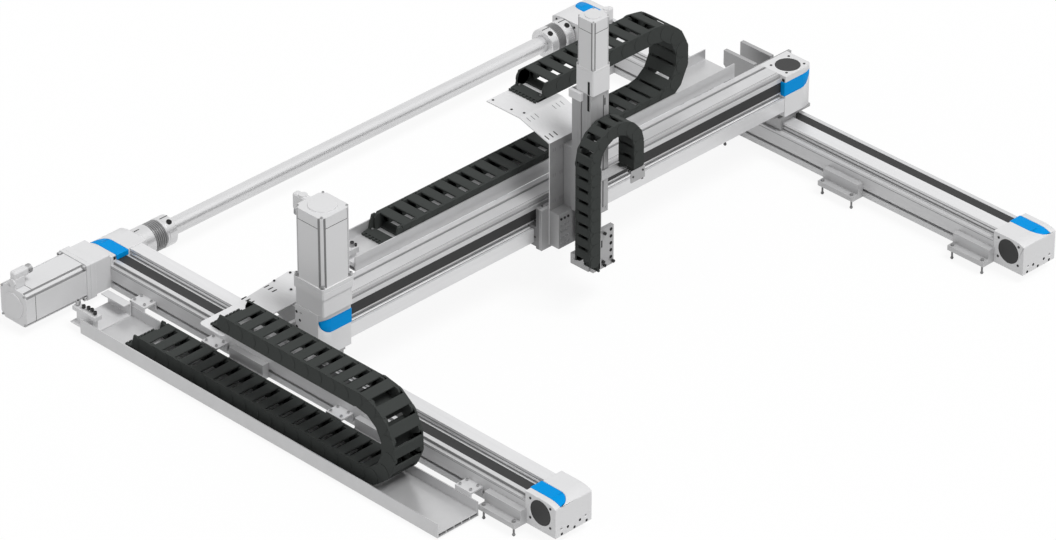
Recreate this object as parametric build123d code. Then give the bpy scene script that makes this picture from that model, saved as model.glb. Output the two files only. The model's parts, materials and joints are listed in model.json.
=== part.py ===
from build123d import *
from math import asin, cos, pi, sin
import os

# Three-axis gantry robot: two parallel belt axes carry a cross beam, and the beam carries a vertical unit.
# Sizes are in mm. The layout frame has X along the two lower axes towards their idler ends, Y along the
# cross beam and Z up, with its origin at the idler end of the near axis, on its outer bottom edge.
# The finished nodes are moved so that the origin is at the bottom centre of the whole object.

# Belt axis section: v runs across from the belt side, w runs up from the base
AXIS_WIDTH = 120.0
CAP_HEIGHT = 90.0
CAP_LENGTH = 100.0
CAP_NOSE_DROP = 9.0
CAP_NOSE_LENGTH = 34.0
CAP_NOSE_ROUND = 5.0
BODY_HEIGHT = 66.0
LANE_INSET = 9.0
LANE_WIDTH = 45.0
LANE_HEIGHT = 75.0
BELT_WIDTH = 28.0
BELT_OFFSET = 22.0
BELT_THICKNESS = 3.5
BELT_SINK = 0.5
BELT_SIDE_GAP = 1.0
RAIL_WIDTH = 38.0
RAIL_OFFSET = 65.0
RAIL_HEIGHT = 22.0
RAIL_GROOVE = 3.0
WALL = 6.0
SLOT_HEIGHT = 20.0
SLOT_OPENING = 8.0
SLOT_INNER = 16.0
SLOT_LIP = 4.0
SLOT_DEPTH = 11.0
BASE_SLOT_INSET = 30.0

# Pulley line inside the end caps
PULLEY_HEIGHT = 50.0
RUNNING_GAP = 0.3
SHAFT_RADIUS = 9.0
SHAFT_FIT = 0.05
BEARING_RADIUS = 17.5
BEARING_WIDTH = 10.0
HIDDEN_SIDES = 12
PULLEY_TEETH = 20
FLANGE_THICKNESS = 1.5
FLANGE_RISE = 2.0
COVER_RADIUS = 33.0
COVER_THICKNESS = 3.0
ACCENT_OFFSET = 18.0
ACCENT_WIDTH = 40.0
ACCENT_DEPTH = 10.0
ACCENT_BEND = 44.0
ACCENT_CURVE = (0.3, 0.72)
ACCENT_LIP = 3.0
CAP_BOLT_INSET = 20.0
CAP_BOLT_RADIUS = 3.4
CAP_BOLT_DEPTH = 14.0

# Lengths and places of the three axes
X_PROFILE_LENGTH = 1456.0
Y_PROFILE_LENGTH = 1526.0
BEAM_END_INSET = 20.0
BEAM_BACK_X = -905.0
CARRIAGE_TOP = 105.0
ADAPTER_THICKNESS = 13.0

# Carriages on the lower axes and the brackets of the beam
CARRIAGE_LENGTH = 200.0
CARRIAGE_AHEAD = 70.0
RUNNER_LENGTH = 76.0
RUNNER_LEG = 9.0
RUNNER_ROOF = 7.0
RUNNER_LIFT = 2.0
PLATE_SIDE_INSET = 2.0
BELT_CLAMP_LENGTH = 140.0
BEAM_BASE_LENGTH = 192.0
UPRIGHT_THICKNESS = 10.0
UPRIGHT_DROP = 6.0
GUSSET_THICKNESS = 12.0
GUSSET_REACH = 107.0
GUSSET_SPACING = 62.0
GUSSET_TIP = 42.0
GUSSET_FOOT = 20.0

# Motors, one size for the belt axes and a smaller one for the vertical unit
MOTOR_FLANGE = 104.0
MOTOR_BODY = 98.0
MOTOR_CHAMFER = 14.0
MOTOR_GROOVE = 7.0
MOTOR_LENGTH = 165.0
MOTOR_FLANGE_THICKNESS = 12.0
BELL_LENGTH = 33.0
BELL_DISC = 3.0
BELL_DISC_SHARE = 0.36
HOUSING_BASE = 50.0
HOUSING_COLLAR = 18.0
HOUSING_BORE = 34.0
HOUSING_FLOOR = 8.0
HOUSING_EDGE = 3.0
HUB_RADIUS = 24.0
HUB_LENGTH = 44.0
SHAFT_SEAT = 18.0
CONNECTOR_RADIUS = 11.0
CONNECTOR_NECK = 6.0
CONNECTOR_LENGTH = 34.0
CONNECTOR_NECK_SHARE = 1.6
CONNECTOR_NUT_SHARE = 0.8
CONNECTOR_BARREL_SHARE = 0.7
Z_MOTOR_FLANGE = 60.0
Z_MOTOR_BODY = 58.0
Z_MOTOR_CHAMFER = 8.0
Z_MOTOR_GROOVE = 4.0
Z_MOTOR_LENGTH = 104.0
Z_MOTOR_FLANGE_THICKNESS = 8.0
Z_BELL_LENGTH = 34.0
Z_HOUSING_LENGTH = 62.0
Z_HOUSING_BORE = 20.0
Z_HOUSING_FLOOR = 6.0
Z_HUB_RADIUS = 17.0
Z_HUB_LENGTH = 38.0
Z_CONNECTOR_RADIUS = 8.0
Z_CONNECTOR_LENGTH = 26.0

# Connecting shaft between the two lower axes
TUBE_RADIUS = 22.5
TUBE_WALL = 3.0
COUPLING_RADIUS = 40.0
COUPLING_END_GAP = 2.0
NEAR_HUB_LENGTH = 60.0
FAR_HUB_LENGTH = 34.0
TUBE_HUB_LENGTH = 34.0
BELLOWS_LENGTH = 18.0
BELLOWS_FOLDS = 2
BELLOWS_DEPTH = 2.0
CLAMP_SLIT = 2.0

# Supports under the lower axes
SUPPORT_LENGTH = 120.0
SUPPORT_REACH = 40.0
SUPPORT_BASE = 14.0
SUPPORT_BAR = 20.0
SUPPORT_HEIGHT = 42.0
SUPPORT_FIRST = 156.0
SUPPORT_LAST = 171.0
SUPPORT_COUNT = 4
FOOT_DROP = 25.0
FOOT_BALL_RADIUS = 4.5
FOOT_SIDES = 8
NUT_SIDES = 6
FOOT_STEM_RADIUS = 2.5
FOOT_HEAD = 4.0
FOOT_SPREAD = 50.0
FOOT_INSET = 8.0

# Cable trays
X_TRAY_WIDTH = 134.0
X_TRAY_START = 181.0
X_TRAY_END = 215.0
X_TRAY_FLOOR = -5.0
Y_TRAY_WIDTH = 106.0
Y_TRAY_INSET = 202.0
Y_TRAY_END = 194.0
TRAY_HEIGHT = 40.0
TRAY_FLOOR = 12.0
TRAY_WALL = 3.0
TRAY_SKIN = 2.0
TRAY_ROOMS = 5
TRAY_GAP = 1.0
X_BRACKET_WIDTH = 54.0
X_BRACKET_RISE = 7.0
BRACKET_WIDTH = 38.0
BRACKET_THICKNESS = 5.0
BRACKET_DROP = 18.0
BRACKET_FAR = 111.0
BRACKET_NEAR = 70.0
Y_BRACKET_DROP = 45.0
Y_BRACKET_COUNT = 4
CLAMP_LENGTH = 85.0
CLAMP_WIDTH = 22.0
CLAMP_HEIGHT = 12.0
CLAMP_FROM_EDGE = 23.0
CLAMP_OVERHANG = 42.0
CLAMP_BASE_INSET = 12.0
CLAMP_BASE_WIDTH = 16.0
CLAMP_BASE_TOP = 28.0
CLAMP_FLANGE = 24.0
SHEET_THICKNESS = 3.0

# Energy chains
PITCH = 46.0
CHAIN_WIDTH = 96.0
CHAIN_HEIGHT = 44.0
Z_PITCH = 33.0
Z_CHAIN_WIDTH = 53.0
Z_CHAIN_HEIGHT = 35.0
LINK_SIDE = 5.0
LINK_PLAY = 0.4
LINK_OVERLAP_SHARE = 0.34
LINK_BAR_SHARE = 0.56
LINK_CORNER_SHARE = 0.28
LINK_BAR = 4.0
JOINT_TOLERANCE = 0.005
COMB_SHARE = 0.87
COMB_BASE = 6.0
COMB_TEETH = 8
COMB_TOOTH = 8.0
X_CHAIN_RADIUS = 100.0
X_CHAIN_FIRST = 179.0
X_CHAIN_UPPER = 465.0
X_CHAIN_TURN = -511.0
X_CHAIN_EDGE_GAP = 6.0
Y_CHAIN_RADIUS = 100.0
Y_CHAIN_FIRST = 162.0
Y_CHAIN_UPPER = 371.0
Y_CHAIN_TURN = 1263.0
Z_CHAIN_RADIUS = 75.0
Z_CHAIN_RUN = 62.0
Z_CHAIN_LINKS = 17
Z_CHAIN_TURN = 412.0
Z_CHAIN_SHIFT = 5.0
Z_CHAIN_GAP = 4.0

# Sheet plates that carry the moving ends of the chains
PLATE_CORNER = 12.0
PLATE_SLOT_LENGTH = 16.0
PLATE_SLOT_WIDTH = 4.0
PLATE_SLOT_PITCH = 14.0
PLATE_SLOT_COUNT = 3
X_PLATE_BACK = -1075.0
X_PLATE_CHAIN_BACK = -1054.0
X_PLATE_CORNER = -990.0
X_PLATE_CORNER_Y = 100.0
X_PLATE_FRONT = -958.0
X_PLATE_INNER_Y = 164.0
X_PLATE_MARGIN = 12.0
Y_PLATE_WIDTH = 150.0
Y_PLATE_LOW = 12.0
Y_PLATE_RISE = 30.0
Y_PLATE_BEND = -892.0
Y_PLATE_BACK = -1008.0

# Vertical unit
Y_CARRIAGE_START = 742.0
Z_PLATE_THICKNESS = 10.0
Z_BLOCK_THICKNESS = 17.0
Z_BLOCK_WIDTH = 150.0
Z_CLAMP_THICKNESS = 15.0
Z_CLAMP_INSET = 26.0
Z_BODY_WIDTH = 62.0
Z_BODY_DEPTH = 65.0
Z_BODY_LENGTH = 348.0
Z_BODY_BOTTOM = 227.0
Z_BODY_WALL = 6.0
Z_BODY_END = 14.0
Z_SLOT = 4.0
Z_FRONT_SLOT_INSET = 18.0
Z_SLIDE_WIDTH = 44.0
Z_SLIDE_DEPTH = 20.0
Z_SLIDE_LENGTH = 320.0
Z_SCREW_RADIUS = 7.0
Z_NUT_RADIUS = 14.0
Z_NUT_LENGTH = 36.0
Z_NUT_DROP = 20.0
Z_NUT_NECK = 16.0
Z_NUT_ROOM = 1.0
YOKE_BOTTOM = 79.0
YOKE_HEIGHT = 30.0
YOKE_WIDTH = 80.0
YOKE_DEPTH = 63.0
YOKE_HOLE_DEPTH = 14.0
YOKE_HOLE_SPACING_X = 40.0
YOKE_HOLE_SPACING_Y = 50.0
TOOL_PLATE_HEIGHT = 112.0
TOOL_PLATE_WIDTH = 72.0
TOOL_PLATE_THICKNESS = 12.0
TOOL_HOLE_RADIUS = 3.3
TOOL_HOLE_PITCH = 20.0
TOOL_HOLE_COUNT = 5
TOOL_HOLE_INSET = 10.0
ARM_REACH = 34.0

# Values that follow from the driving ones
X_AXIS_LENGTH = X_PROFILE_LENGTH + 2 * CAP_LENGTH
Y_AXIS_LENGTH = Y_PROFILE_LENGTH + 2 * CAP_LENGTH
AXIS_SPACING = Y_AXIS_LENGTH + 2 * BEAM_END_INSET - AXIS_WIDTH
CAP_CENTRE = CAP_LENGTH / 2
RAIL_TOP = BODY_HEIGHT + RAIL_HEIGHT
RAIL_CENTRE = RAIL_OFFSET + RAIL_WIDTH / 2
RUNNER_TOP = RAIL_TOP + RUNNING_GAP + RUNNER_ROOF
BEAM_BOTTOM = CARRIAGE_TOP + ADAPTER_THICKNESS
BEAM_TOP = BEAM_BOTTOM + AXIS_WIDTH
BEAM_CENTRE_Y = (AXIS_SPACING + AXIS_WIDTH) / 2
BEAM_END_Y = BEAM_CENTRE_Y + Y_AXIS_LENGTH / 2
BEAM_CARRIAGE_X = BEAM_BACK_X + CARRIAGE_TOP
BELT_TOP = LANE_HEIGHT - BELT_SINK
BELT_OUTER = BELT_TOP - PULLEY_HEIGHT
BELT_INNER = BELT_OUTER - BELT_THICKNESS
BELT_CENTRE = BELT_OFFSET + BELT_WIDTH / 2
PULLEY_RADIUS = BELT_INNER - RUNNING_GAP
PULLEY_HALF = BELT_WIDTH / 2 + BELT_SIDE_GAP
ROOM_HALF = PULLEY_HALF + FLANGE_THICKNESS + RUNNING_GAP
ROOM_RADIUS = BELT_OUTER + 2 * BELT_SIDE_GAP
BEARING_SPAN = (BELT_CENTRE - ROOM_HALF - BEARING_WIDTH, BELT_CENTRE + ROOM_HALF + BEARING_WIDTH)
SHAFT_SPAN = (BEARING_SPAN[0] + RUNNING_GAP, BEARING_SPAN[1] - RUNNING_GAP)
HOUSING_LENGTH = HOUSING_BASE + HOUSING_COLLAR
DRIVE_X = CAP_CENTRE - X_AXIS_LENGTH
DRIVE_Y = BEAM_END_Y - Y_AXIS_LENGTH + CAP_CENTRE
Y_CARRIAGE_CENTRE = Y_CARRIAGE_START + CARRIAGE_LENGTH / 2
SUPPORT_PITCH = (X_AXIS_LENGTH - SUPPORT_FIRST - SUPPORT_LAST) / (SUPPORT_COUNT - 1)
BRACKET_STEPS = (-BRACKET_FAR, -BRACKET_FAR, -BRACKET_FAR, BRACKET_NEAR)
X_TRAY_BACK = X_TRAY_START - X_AXIS_LENGTH
X_TRAY_LENGTH = -X_TRAY_END - X_TRAY_BACK
X_TRAY_INNER_Y = -SUPPORT_REACH - TRAY_GAP
Y_TRAY_INNER_X = BEAM_BACK_X - TRAY_GAP
Y_TRAY_START = BEAM_END_INSET + Y_TRAY_INSET
Y_TRAY_LENGTH = BEAM_END_Y - Y_TRAY_END - Y_TRAY_START
Y_TRAY_FLOOR = BEAM_TOP + TRAY_FLOOR
X_CHAIN_CENTRE_Y = X_TRAY_INNER_Y - TRAY_WALL - X_CHAIN_EDGE_GAP - CHAIN_WIDTH / 2
Y_CHAIN_CENTRE_X = Y_TRAY_INNER_X - Y_TRAY_WIDTH / 2
X_PLATE_TOP = X_TRAY_FLOOR + 2 * X_CHAIN_RADIUS
Y_PLATE_TOP = Y_TRAY_FLOOR + 2 * Y_CHAIN_RADIUS
X_CHAIN_RUN = X_CHAIN_TURN - X_TRAY_BACK - X_CHAIN_FIRST
X_CHAIN_LINKS = round((X_CHAIN_RUN + pi * X_CHAIN_RADIUS + X_CHAIN_UPPER) / PITCH)
Y_CHAIN_RUN = Y_CHAIN_TURN - Y_TRAY_START - Y_CHAIN_FIRST
Y_CHAIN_LINKS = round((Y_CHAIN_RUN + pi * Y_CHAIN_RADIUS + Y_CHAIN_UPPER) / PITCH)

# Where the three axes stand: local X along the axis, local Y across from the belt side, local Z out.
# The near axis starts at its drive end, the far axis and the beam start at their idler ends.
NEAR_AXIS = Plane(origin=(0, 0, 0), x_dir=(1, 0, 0), z_dir=(0, 0, 1)).location
FAR_AXIS = Plane(origin=(0, AXIS_SPACING + AXIS_WIDTH, 0), x_dir=(-1, 0, 0), z_dir=(0, 0, 1)).location
BEAM_AXIS = Plane(origin=(BEAM_BACK_X, BEAM_END_Y, BEAM_TOP), x_dir=(0, -1, 0), z_dir=(1, 0, 0)).location

NODES = {}


def add(name, *shapes):
    """Collects the solids of one node."""
    solids = NODES.setdefault(name, [])
    for shape in shapes:
        solids.extend(shape.solids())


def block(x, y, z):
    """A box between low and high values on each axis."""
    size = [abs(end - start) for start, end in (x, y, z)]
    centre = [(start + end) / 2 for start, end in (x, y, z)]
    return Pos(*centre) * Box(*size)


def rod_x(radius, x, y, z):
    """A cylinder along X, between two values of x."""
    return Pos((x[0] + x[1]) / 2, y, z) * Rot(0, 90, 0) * Cylinder(radius, abs(x[1] - x[0]))


def rod_y(radius, x, y, z):
    """A cylinder along Y, between two values of y."""
    return Pos(x, (y[0] + y[1]) / 2, z) * Rot(90, 0, 0) * Cylinder(radius, abs(y[1] - y[0]))


def rod_z(radius, x, y, z):
    """A cylinder along Z, between two values of z."""
    return Pos(x, y, (z[0] + z[1]) / 2) * Cylinder(radius, abs(z[1] - z[0]))


def prism(radius, z, sides, inscribed=False):
    """A many-sided bar along Z, between two values of z; inscribed gives the radius to its flats."""
    outline = RegularPolygon(radius, sides, major_radius=not inscribed)
    return Pos(0, 0, z[0]) * extrude(outline, amount=z[1] - z[0])


def prism_y(radius, x, y, z, sides, inscribed=False):
    """A many-sided bar along Y, between two values of y."""
    return Pos(x, 0, z) * Rot(-90, 0, 0) * prism(radius, y, sides, inscribed)


def around(centre, width):
    """The low and high values of a width about a centre."""
    return (centre - width / 2, centre + width / 2)


def sheet(outline, low, thickness=SHEET_THICKNESS):
    """A flat sheet of a plan outline."""
    return Pos(0, 0, low) * extrude(outline, amount=thickness, dir=(0, 0, 1))


# Belt axis


def t_slot(v, w, turn):
    """The outline of one T-slot that opens at (v, w), turned about that point."""
    mouth = Pos(0, SLOT_DEPTH / 2) * Rectangle(SLOT_OPENING, SLOT_DEPTH)
    room = Pos(0, (SLOT_LIP + SLOT_DEPTH) / 2) * Rectangle(SLOT_INNER, SLOT_DEPTH - SLOT_LIP)
    return Pos(v, w) * Rot(0, 0, turn) * (mouth + room)


def axis_section():
    """The section of the axis profile, with belt lane, rail ledge, T-slots and chambers."""
    section = Pos(AXIS_WIDTH / 2, BODY_HEIGHT / 2) * Rectangle(AXIS_WIDTH, BODY_HEIGHT)
    section += Pos(LANE_INSET + LANE_WIDTH / 2, LANE_HEIGHT / 2) * Rectangle(LANE_WIDTH, LANE_HEIGHT)
    groove_floor = BELT_TOP - BELT_THICKNESS - BELT_SIDE_GAP
    groove_width = BELT_WIDTH + 2 * BELT_SIDE_GAP
    groove_depth = LANE_HEIGHT - groove_floor
    section -= Pos(BELT_CENTRE, LANE_HEIGHT - groove_depth / 2) * Rectangle(groove_width, groove_depth)
    floor = SLOT_DEPTH + WALL
    roof = BODY_HEIGHT - WALL
    rooms = ((SLOT_DEPTH + WALL, RAIL_OFFSET - WALL), (RAIL_OFFSET, AXIS_WIDTH - SLOT_DEPTH - WALL))
    for left, right in rooms:
        section -= Pos((left + right) / 2, (floor + roof) / 2) * Rectangle(right - left, roof - floor)
    section -= t_slot(0, SLOT_HEIGHT, -90)
    section -= t_slot(AXIS_WIDTH, SLOT_HEIGHT, 90)
    section -= t_slot(BASE_SLOT_INSET, 0, 0)
    section -= t_slot(AXIS_WIDTH - BASE_SLOT_INSET, 0, 0)
    return section


def axis_profile(length):
    """The hollow profile between the two end caps."""
    return Pos(CAP_LENGTH, 0, 0) * extrude(Plane.YZ * axis_section(), amount=length)


def guide_rail(length):
    """The wide rail beside the belt, with a raceway in each side."""
    raceway = Polygon((0, -RAIL_GROOVE), (RAIL_GROOVE, 0), (0, RAIL_GROOVE), (-RAIL_GROOVE, 0))
    section = Rectangle(RAIL_WIDTH, RAIL_HEIGHT)
    for side in (-1, 1):
        section -= Pos(side * RAIL_WIDTH / 2, 0) * raceway
    section = Pos(RAIL_CENTRE, BODY_HEIGHT + RAIL_HEIGHT / 2) * section
    return Pos(CAP_LENGTH, 0, 0) * extrude(Plane.YZ * section, amount=length)


def nose_outline():
    """The end cap seen from the side: a block whose top curves down to a rounded end face."""
    low = CAP_HEIGHT - CAP_NOSE_DROP
    shoulder = (CAP_NOSE_LENGTH, CAP_HEIGHT)
    edges = Polyline(shoulder, (CAP_LENGTH, CAP_HEIGHT), (CAP_LENGTH, 0), (0, 0), (0, low))
    middle = (CAP_NOSE_LENGTH / 2, CAP_HEIGHT - CAP_NOSE_DROP / 4)
    face = make_face(edges + ThreePointArc((0, low), middle, shoulder))
    return fillet(face.vertices().group_by(Axis.X)[0].sort_by(Axis.Y)[-1], CAP_NOSE_ROUND)


def accent_outline():
    """The plan of the belt cover on a cap: straight along the belt, rounded away towards the nose."""
    low = ACCENT_OFFSET
    high = ACCENT_OFFSET + ACCENT_WIDTH
    end = CAP_LENGTH + ACCENT_LIP
    edges = Polyline((ACCENT_BEND, high), (end, high), (end, low), (BELT_SIDE_GAP, low))
    middle = (ACCENT_BEND * ACCENT_CURVE[0], low + ACCENT_WIDTH * ACCENT_CURVE[1])
    return make_face(edges + ThreePointArc((BELT_SIDE_GAP, low), middle, (ACCENT_BEND, high)))


def accent_cover():
    """The coloured cover over the belt, let into the top of an end cap, with a lip before the profile."""
    plan = offset(accent_outline(), amount=-RUNNING_GAP, kind=Kind.INTERSECTION)
    cover = sheet(plan, CAP_HEIGHT - ACCENT_DEPTH, ACCENT_DEPTH)
    shell = extrude(Plane.XZ * nose_outline(), amount=-AXIS_WIDTH)
    width = (ACCENT_OFFSET + RUNNING_GAP, ACCENT_OFFSET + ACCENT_WIDTH - RUNNING_GAP)
    lip = (CAP_LENGTH, CAP_LENGTH + ACCENT_LIP)
    return (cover & shell) + block(lip, width, (LANE_HEIGHT + RUNNING_GAP, CAP_HEIGHT))


def end_cap(open_belt_side, open_inner_side):
    """The casting that holds a pulley: seats for two bearings and round covers, and bolt holes in its end."""
    cap = extrude(Plane.XZ * nose_outline(), amount=-AXIS_WIDTH)
    room = around(BELT_CENTRE, 2 * ROOM_HALF)
    cap -= block((CAP_CENTRE - ROOM_RADIUS, CAP_LENGTH), room, around(PULLEY_HEIGHT, 2 * ROOM_RADIUS))
    cap -= prism_y(BEARING_RADIUS, CAP_CENTRE, BEARING_SPAN, PULLEY_HEIGHT, HIDDEN_SIDES)
    sides = ((open_belt_side, 0, COVER_THICKNESS), (open_inner_side, AXIS_WIDTH, -COVER_THICKNESS))
    for is_open, face, recess in sides:
        if is_open:
            cap -= rod_y(SHAFT_RADIUS + RUNNING_GAP, CAP_CENTRE, (face, BELT_CENTRE), PULLEY_HEIGHT)
        else:
            cap -= rod_y(COVER_RADIUS, CAP_CENTRE, (face, face + recess), PULLEY_HEIGHT)
    cap -= sheet(accent_outline(), CAP_HEIGHT - ACCENT_DEPTH, 2 * ACCENT_DEPTH)
    for v in (CAP_BOLT_INSET, AXIS_WIDTH - CAP_BOLT_INSET):
        cap -= rod_x(CAP_BOLT_RADIUS, (0, CAP_BOLT_DEPTH), v, SLOT_HEIGHT)
    return cap


def cover_disc(v):
    """The dark round cover over a bearing, with its outer face at v."""
    depth = COVER_THICKNESS if v == 0 else -COVER_THICKNESS
    return rod_y(COVER_RADIUS - RUNNING_GAP, CAP_CENTRE, (v, v + depth), PULLEY_HEIGHT)


def bearings():
    """The two bearings of a pulley, one each side of the belt."""
    rings = []
    for side in (-1, 1):
        inner = BELT_CENTRE + side * ROOM_HALF
        span = sorted((inner, inner + side * BEARING_WIDTH))
        ring = prism_y(BEARING_RADIUS, CAP_CENTRE, span, PULLEY_HEIGHT, HIDDEN_SIDES)
        bore = prism_y(SHAFT_RADIUS + SHAFT_FIT, CAP_CENTRE, span, PULLEY_HEIGHT, HIDDEN_SIDES, True)
        rings.append(ring - bore)
    return rings


def pulley(shaft_low, shaft_high):
    """A flanged belt pulley with its shaft, along local Y in an end cap."""
    width = around(BELT_CENTRE, 2 * PULLEY_HALF)
    wheel = prism_y(PULLEY_RADIUS, CAP_CENTRE, width, PULLEY_HEIGHT, PULLEY_TEETH)
    for side in (-1, 1):
        inner = BELT_CENTRE + side * PULLEY_HALF
        span = sorted((inner, inner + side * FLANGE_THICKNESS))
        wheel += prism_y(PULLEY_RADIUS + FLANGE_RISE, CAP_CENTRE, span, PULLEY_HEIGHT, PULLEY_TEETH)
    return wheel + rod_y(SHAFT_RADIUS, CAP_CENTRE, (shaft_low, shaft_high), PULLEY_HEIGHT)


def belt_loop(length):
    """The closed belt: one strand in the lane, one inside the profile, round both pulleys."""
    span = length + 2 * (CAP_LENGTH - CAP_CENTRE)
    loop = SlotCenterToCenter(span, 2 * BELT_OUTER) - SlotCenterToCenter(span, 2 * BELT_INNER)
    band = extrude(Plane.XZ * loop, amount=BELT_WIDTH / 2, both=True)
    return Pos(CAP_CENTRE + span / 2, BELT_CENTRE, PULLEY_HEIGHT) * band


def belt_axis(place, length, first_is_drive, names):
    """Profile, rail and belt of one axis in place; returns how a piece is put at its drive and idler ends."""
    for name, piece in zip(names, (axis_profile(length), guide_rail(length), belt_loop(length))):
        add(name, place * piece)
    turn_over = Plane.YZ.offset(length / 2 + CAP_LENGTH)

    def ends(shape_at_drive, shape_at_idler):
        if first_is_drive:
            return place * shape_at_drive, place * mirror(shape_at_idler, about=turn_over)
        return place * mirror(shape_at_drive, about=turn_over), place * shape_at_idler

    return ends


def lower_axes():
    """Both lower axes, with the motor housing on the near drive cap and the shaft between the drive caps."""
    shaft_inside = AXIS_WIDTH + COUPLING_END_GAP + SHAFT_SEAT
    idler = pulley(*SHAFT_SPAN)
    for near in (True, False):
        start = Pos(-X_AXIS_LENGTH, 0, 0) if near else Pos(0, 0, 0)
        place = (NEAR_AXIS if near else FAR_AXIS) * start
        ends = belt_axis(place, X_PROFILE_LENGTH, near, ("x_profiles", "x_guide_rails", "x_belts"))
        add("x_end_caps", *ends(end_cap(near, True), end_cap(False, False)))
        add("x_belt_covers", *ends(accent_cover(), accent_cover()))
        for ring in bearings():
            add("x_bearings", *ends(ring, ring))
        drive = pulley(-HOUSING_FLOOR - SHAFT_SEAT if near else SHAFT_SPAN[0], shaft_inside)
        drive_place, idler_place = ends(drive, idler)
        add("x_drive_pulleys", drive_place)
        add("x_idler_pulleys", idler_place)
        outer, inner = cover_disc(0), cover_disc(AXIS_WIDTH)
        add("x_bearing_covers", ends(outer, outer)[1], ends(inner, inner)[1])
        if not near:
            add("x_bearing_covers", ends(outer, outer)[0])


# Motors and couplings


def squared(size, corner, low, high):
    """A square bar with cut corners, standing along Z."""
    outline = chamfer(Rectangle(size, size).vertices(), corner)
    return Pos(0, 0, low) * extrude(outline, amount=high - low)


def motor_case(flange, flange_thickness, body, corner, groove, length):
    """Mounting flange and body of a servo motor that stands on Z = 0, with a groove down each corner."""
    case = squared(flange, HOUSING_EDGE, 0, flange_thickness)
    case += squared(body, corner, flange_thickness, flange_thickness + length)
    reach = (body - corner) / 2 ** 0.5
    for turn in (45, 135, 225, 315):
        cut = block(around(reach, groove), around(0, groove), (flange_thickness, flange_thickness + length))
        case -= Rot(0, 0, turn) * cut
    return case


def end_bell(body, corner, low, length):
    """The end bell of a motor, with a round raised disc on its end."""
    high = low + length
    bell = squared(body - 2 * RUNNING_GAP, corner, low, high - BELL_DISC)
    return bell + rod_z(body * BELL_DISC_SHARE, 0, 0, (high - BELL_DISC, high))


def connector(body, radius, length, top):
    """The angled plug socket beside an end bell: a neck towards local X and a barrel back along the motor."""
    x = body / 2 + CONNECTOR_NECK + radius
    width = around(0, CONNECTOR_NECK_SHARE * radius)
    neck = block((body / 2 - RUNNING_GAP, x), width, (top - 2 * radius, top - BELL_DISC))
    low = top - length * CONNECTOR_BARREL_SHARE
    barrel = prism(radius, (low, top), HIDDEN_SIDES)
    nut = prism(radius * CONNECTOR_NUT_SHARE, (top - length, low), HIDDEN_SIDES)
    return neck + Pos(x, 0, 0) * (barrel + nut)


def drive_stack(prefix, stand):
    """Coupling housing, motor and shaft hub of a belt axis, on the outer face of its drive cap."""
    housing = squared(MOTOR_BODY, HOUSING_EDGE, 0, HOUSING_BASE)
    housing += squared(MOTOR_FLANGE, HOUSING_EDGE, HOUSING_BASE, HOUSING_LENGTH)
    housing -= squared(2 * HOUSING_BORE, HOUSING_EDGE, HOUSING_FLOOR, HOUSING_LENGTH)
    housing -= prism(SHAFT_RADIUS + RUNNING_GAP, (0, HOUSING_FLOOR), HIDDEN_SIDES, True)
    add(prefix + "_coupling_housing", stand * housing)
    hub_low = HOUSING_FLOOR + BELT_SIDE_GAP
    hub_high = hub_low + HUB_LENGTH
    shaft_high = HOUSING_LENGTH + MOTOR_FLANGE_THICKNESS + SHAFT_SEAT
    hub = rod_z(HUB_RADIUS, 0, 0, (hub_low, hub_high)) + rod_z(SHAFT_RADIUS, 0, 0, (hub_high, shaft_high))
    hub -= rod_z(SHAFT_RADIUS + SHAFT_FIT, 0, 0, (hub_low, HOUSING_FLOOR + SHAFT_SEAT))
    add(prefix + ("_drive_pulleys" if prefix == "x" else "_drive_pulley"), stand * hub)
    place = stand * Pos(0, 0, HOUSING_LENGTH)
    case = motor_case(MOTOR_FLANGE, MOTOR_FLANGE_THICKNESS, MOTOR_BODY, MOTOR_CHAMFER, MOTOR_GROOVE,
                      MOTOR_LENGTH)
    case -= rod_z(SHAFT_RADIUS + SHAFT_FIT, 0, 0, (0, MOTOR_FLANGE_THICKNESS + SHAFT_SEAT))
    bell_low = MOTOR_FLANGE_THICKNESS + MOTOR_LENGTH
    bell = end_bell(MOTOR_BODY, MOTOR_CHAMFER, bell_low, BELL_LENGTH)
    plug = connector(MOTOR_BODY, CONNECTOR_RADIUS, CONNECTOR_LENGTH, bell_low + BELL_LENGTH)
    add(prefix + "_motor", place * case, place * (bell + plug))


def clamp_hub(span, bore):
    """One clamp hub of a shaft coupling along Y, with its slit."""
    hub = rod_y(COUPLING_RADIUS, 0, span, 0) - rod_y(bore + SHAFT_FIT, 0, span, 0)
    return hub - block((bore, COUPLING_RADIUS + CLAMP_SLIT), span, around(0, CLAMP_SLIT))


def bellows(span):
    """The folded ring between two clamp hubs."""
    low, high = sorted(span)
    fold = (high - low) / BELLOWS_FOLDS
    ring = rod_y(COUPLING_RADIUS - BELLOWS_DEPTH, 0, (low, high), 0)
    for index in range(BELLOWS_FOLDS):
        middle = low + (index + 0.5) * fold
        ring += rod_y(COUPLING_RADIUS - RUNNING_GAP, 0, around(middle, fold / 2), 0)
    return ring - rod_y(TUBE_RADIUS, 0, (low, high), 0)


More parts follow.
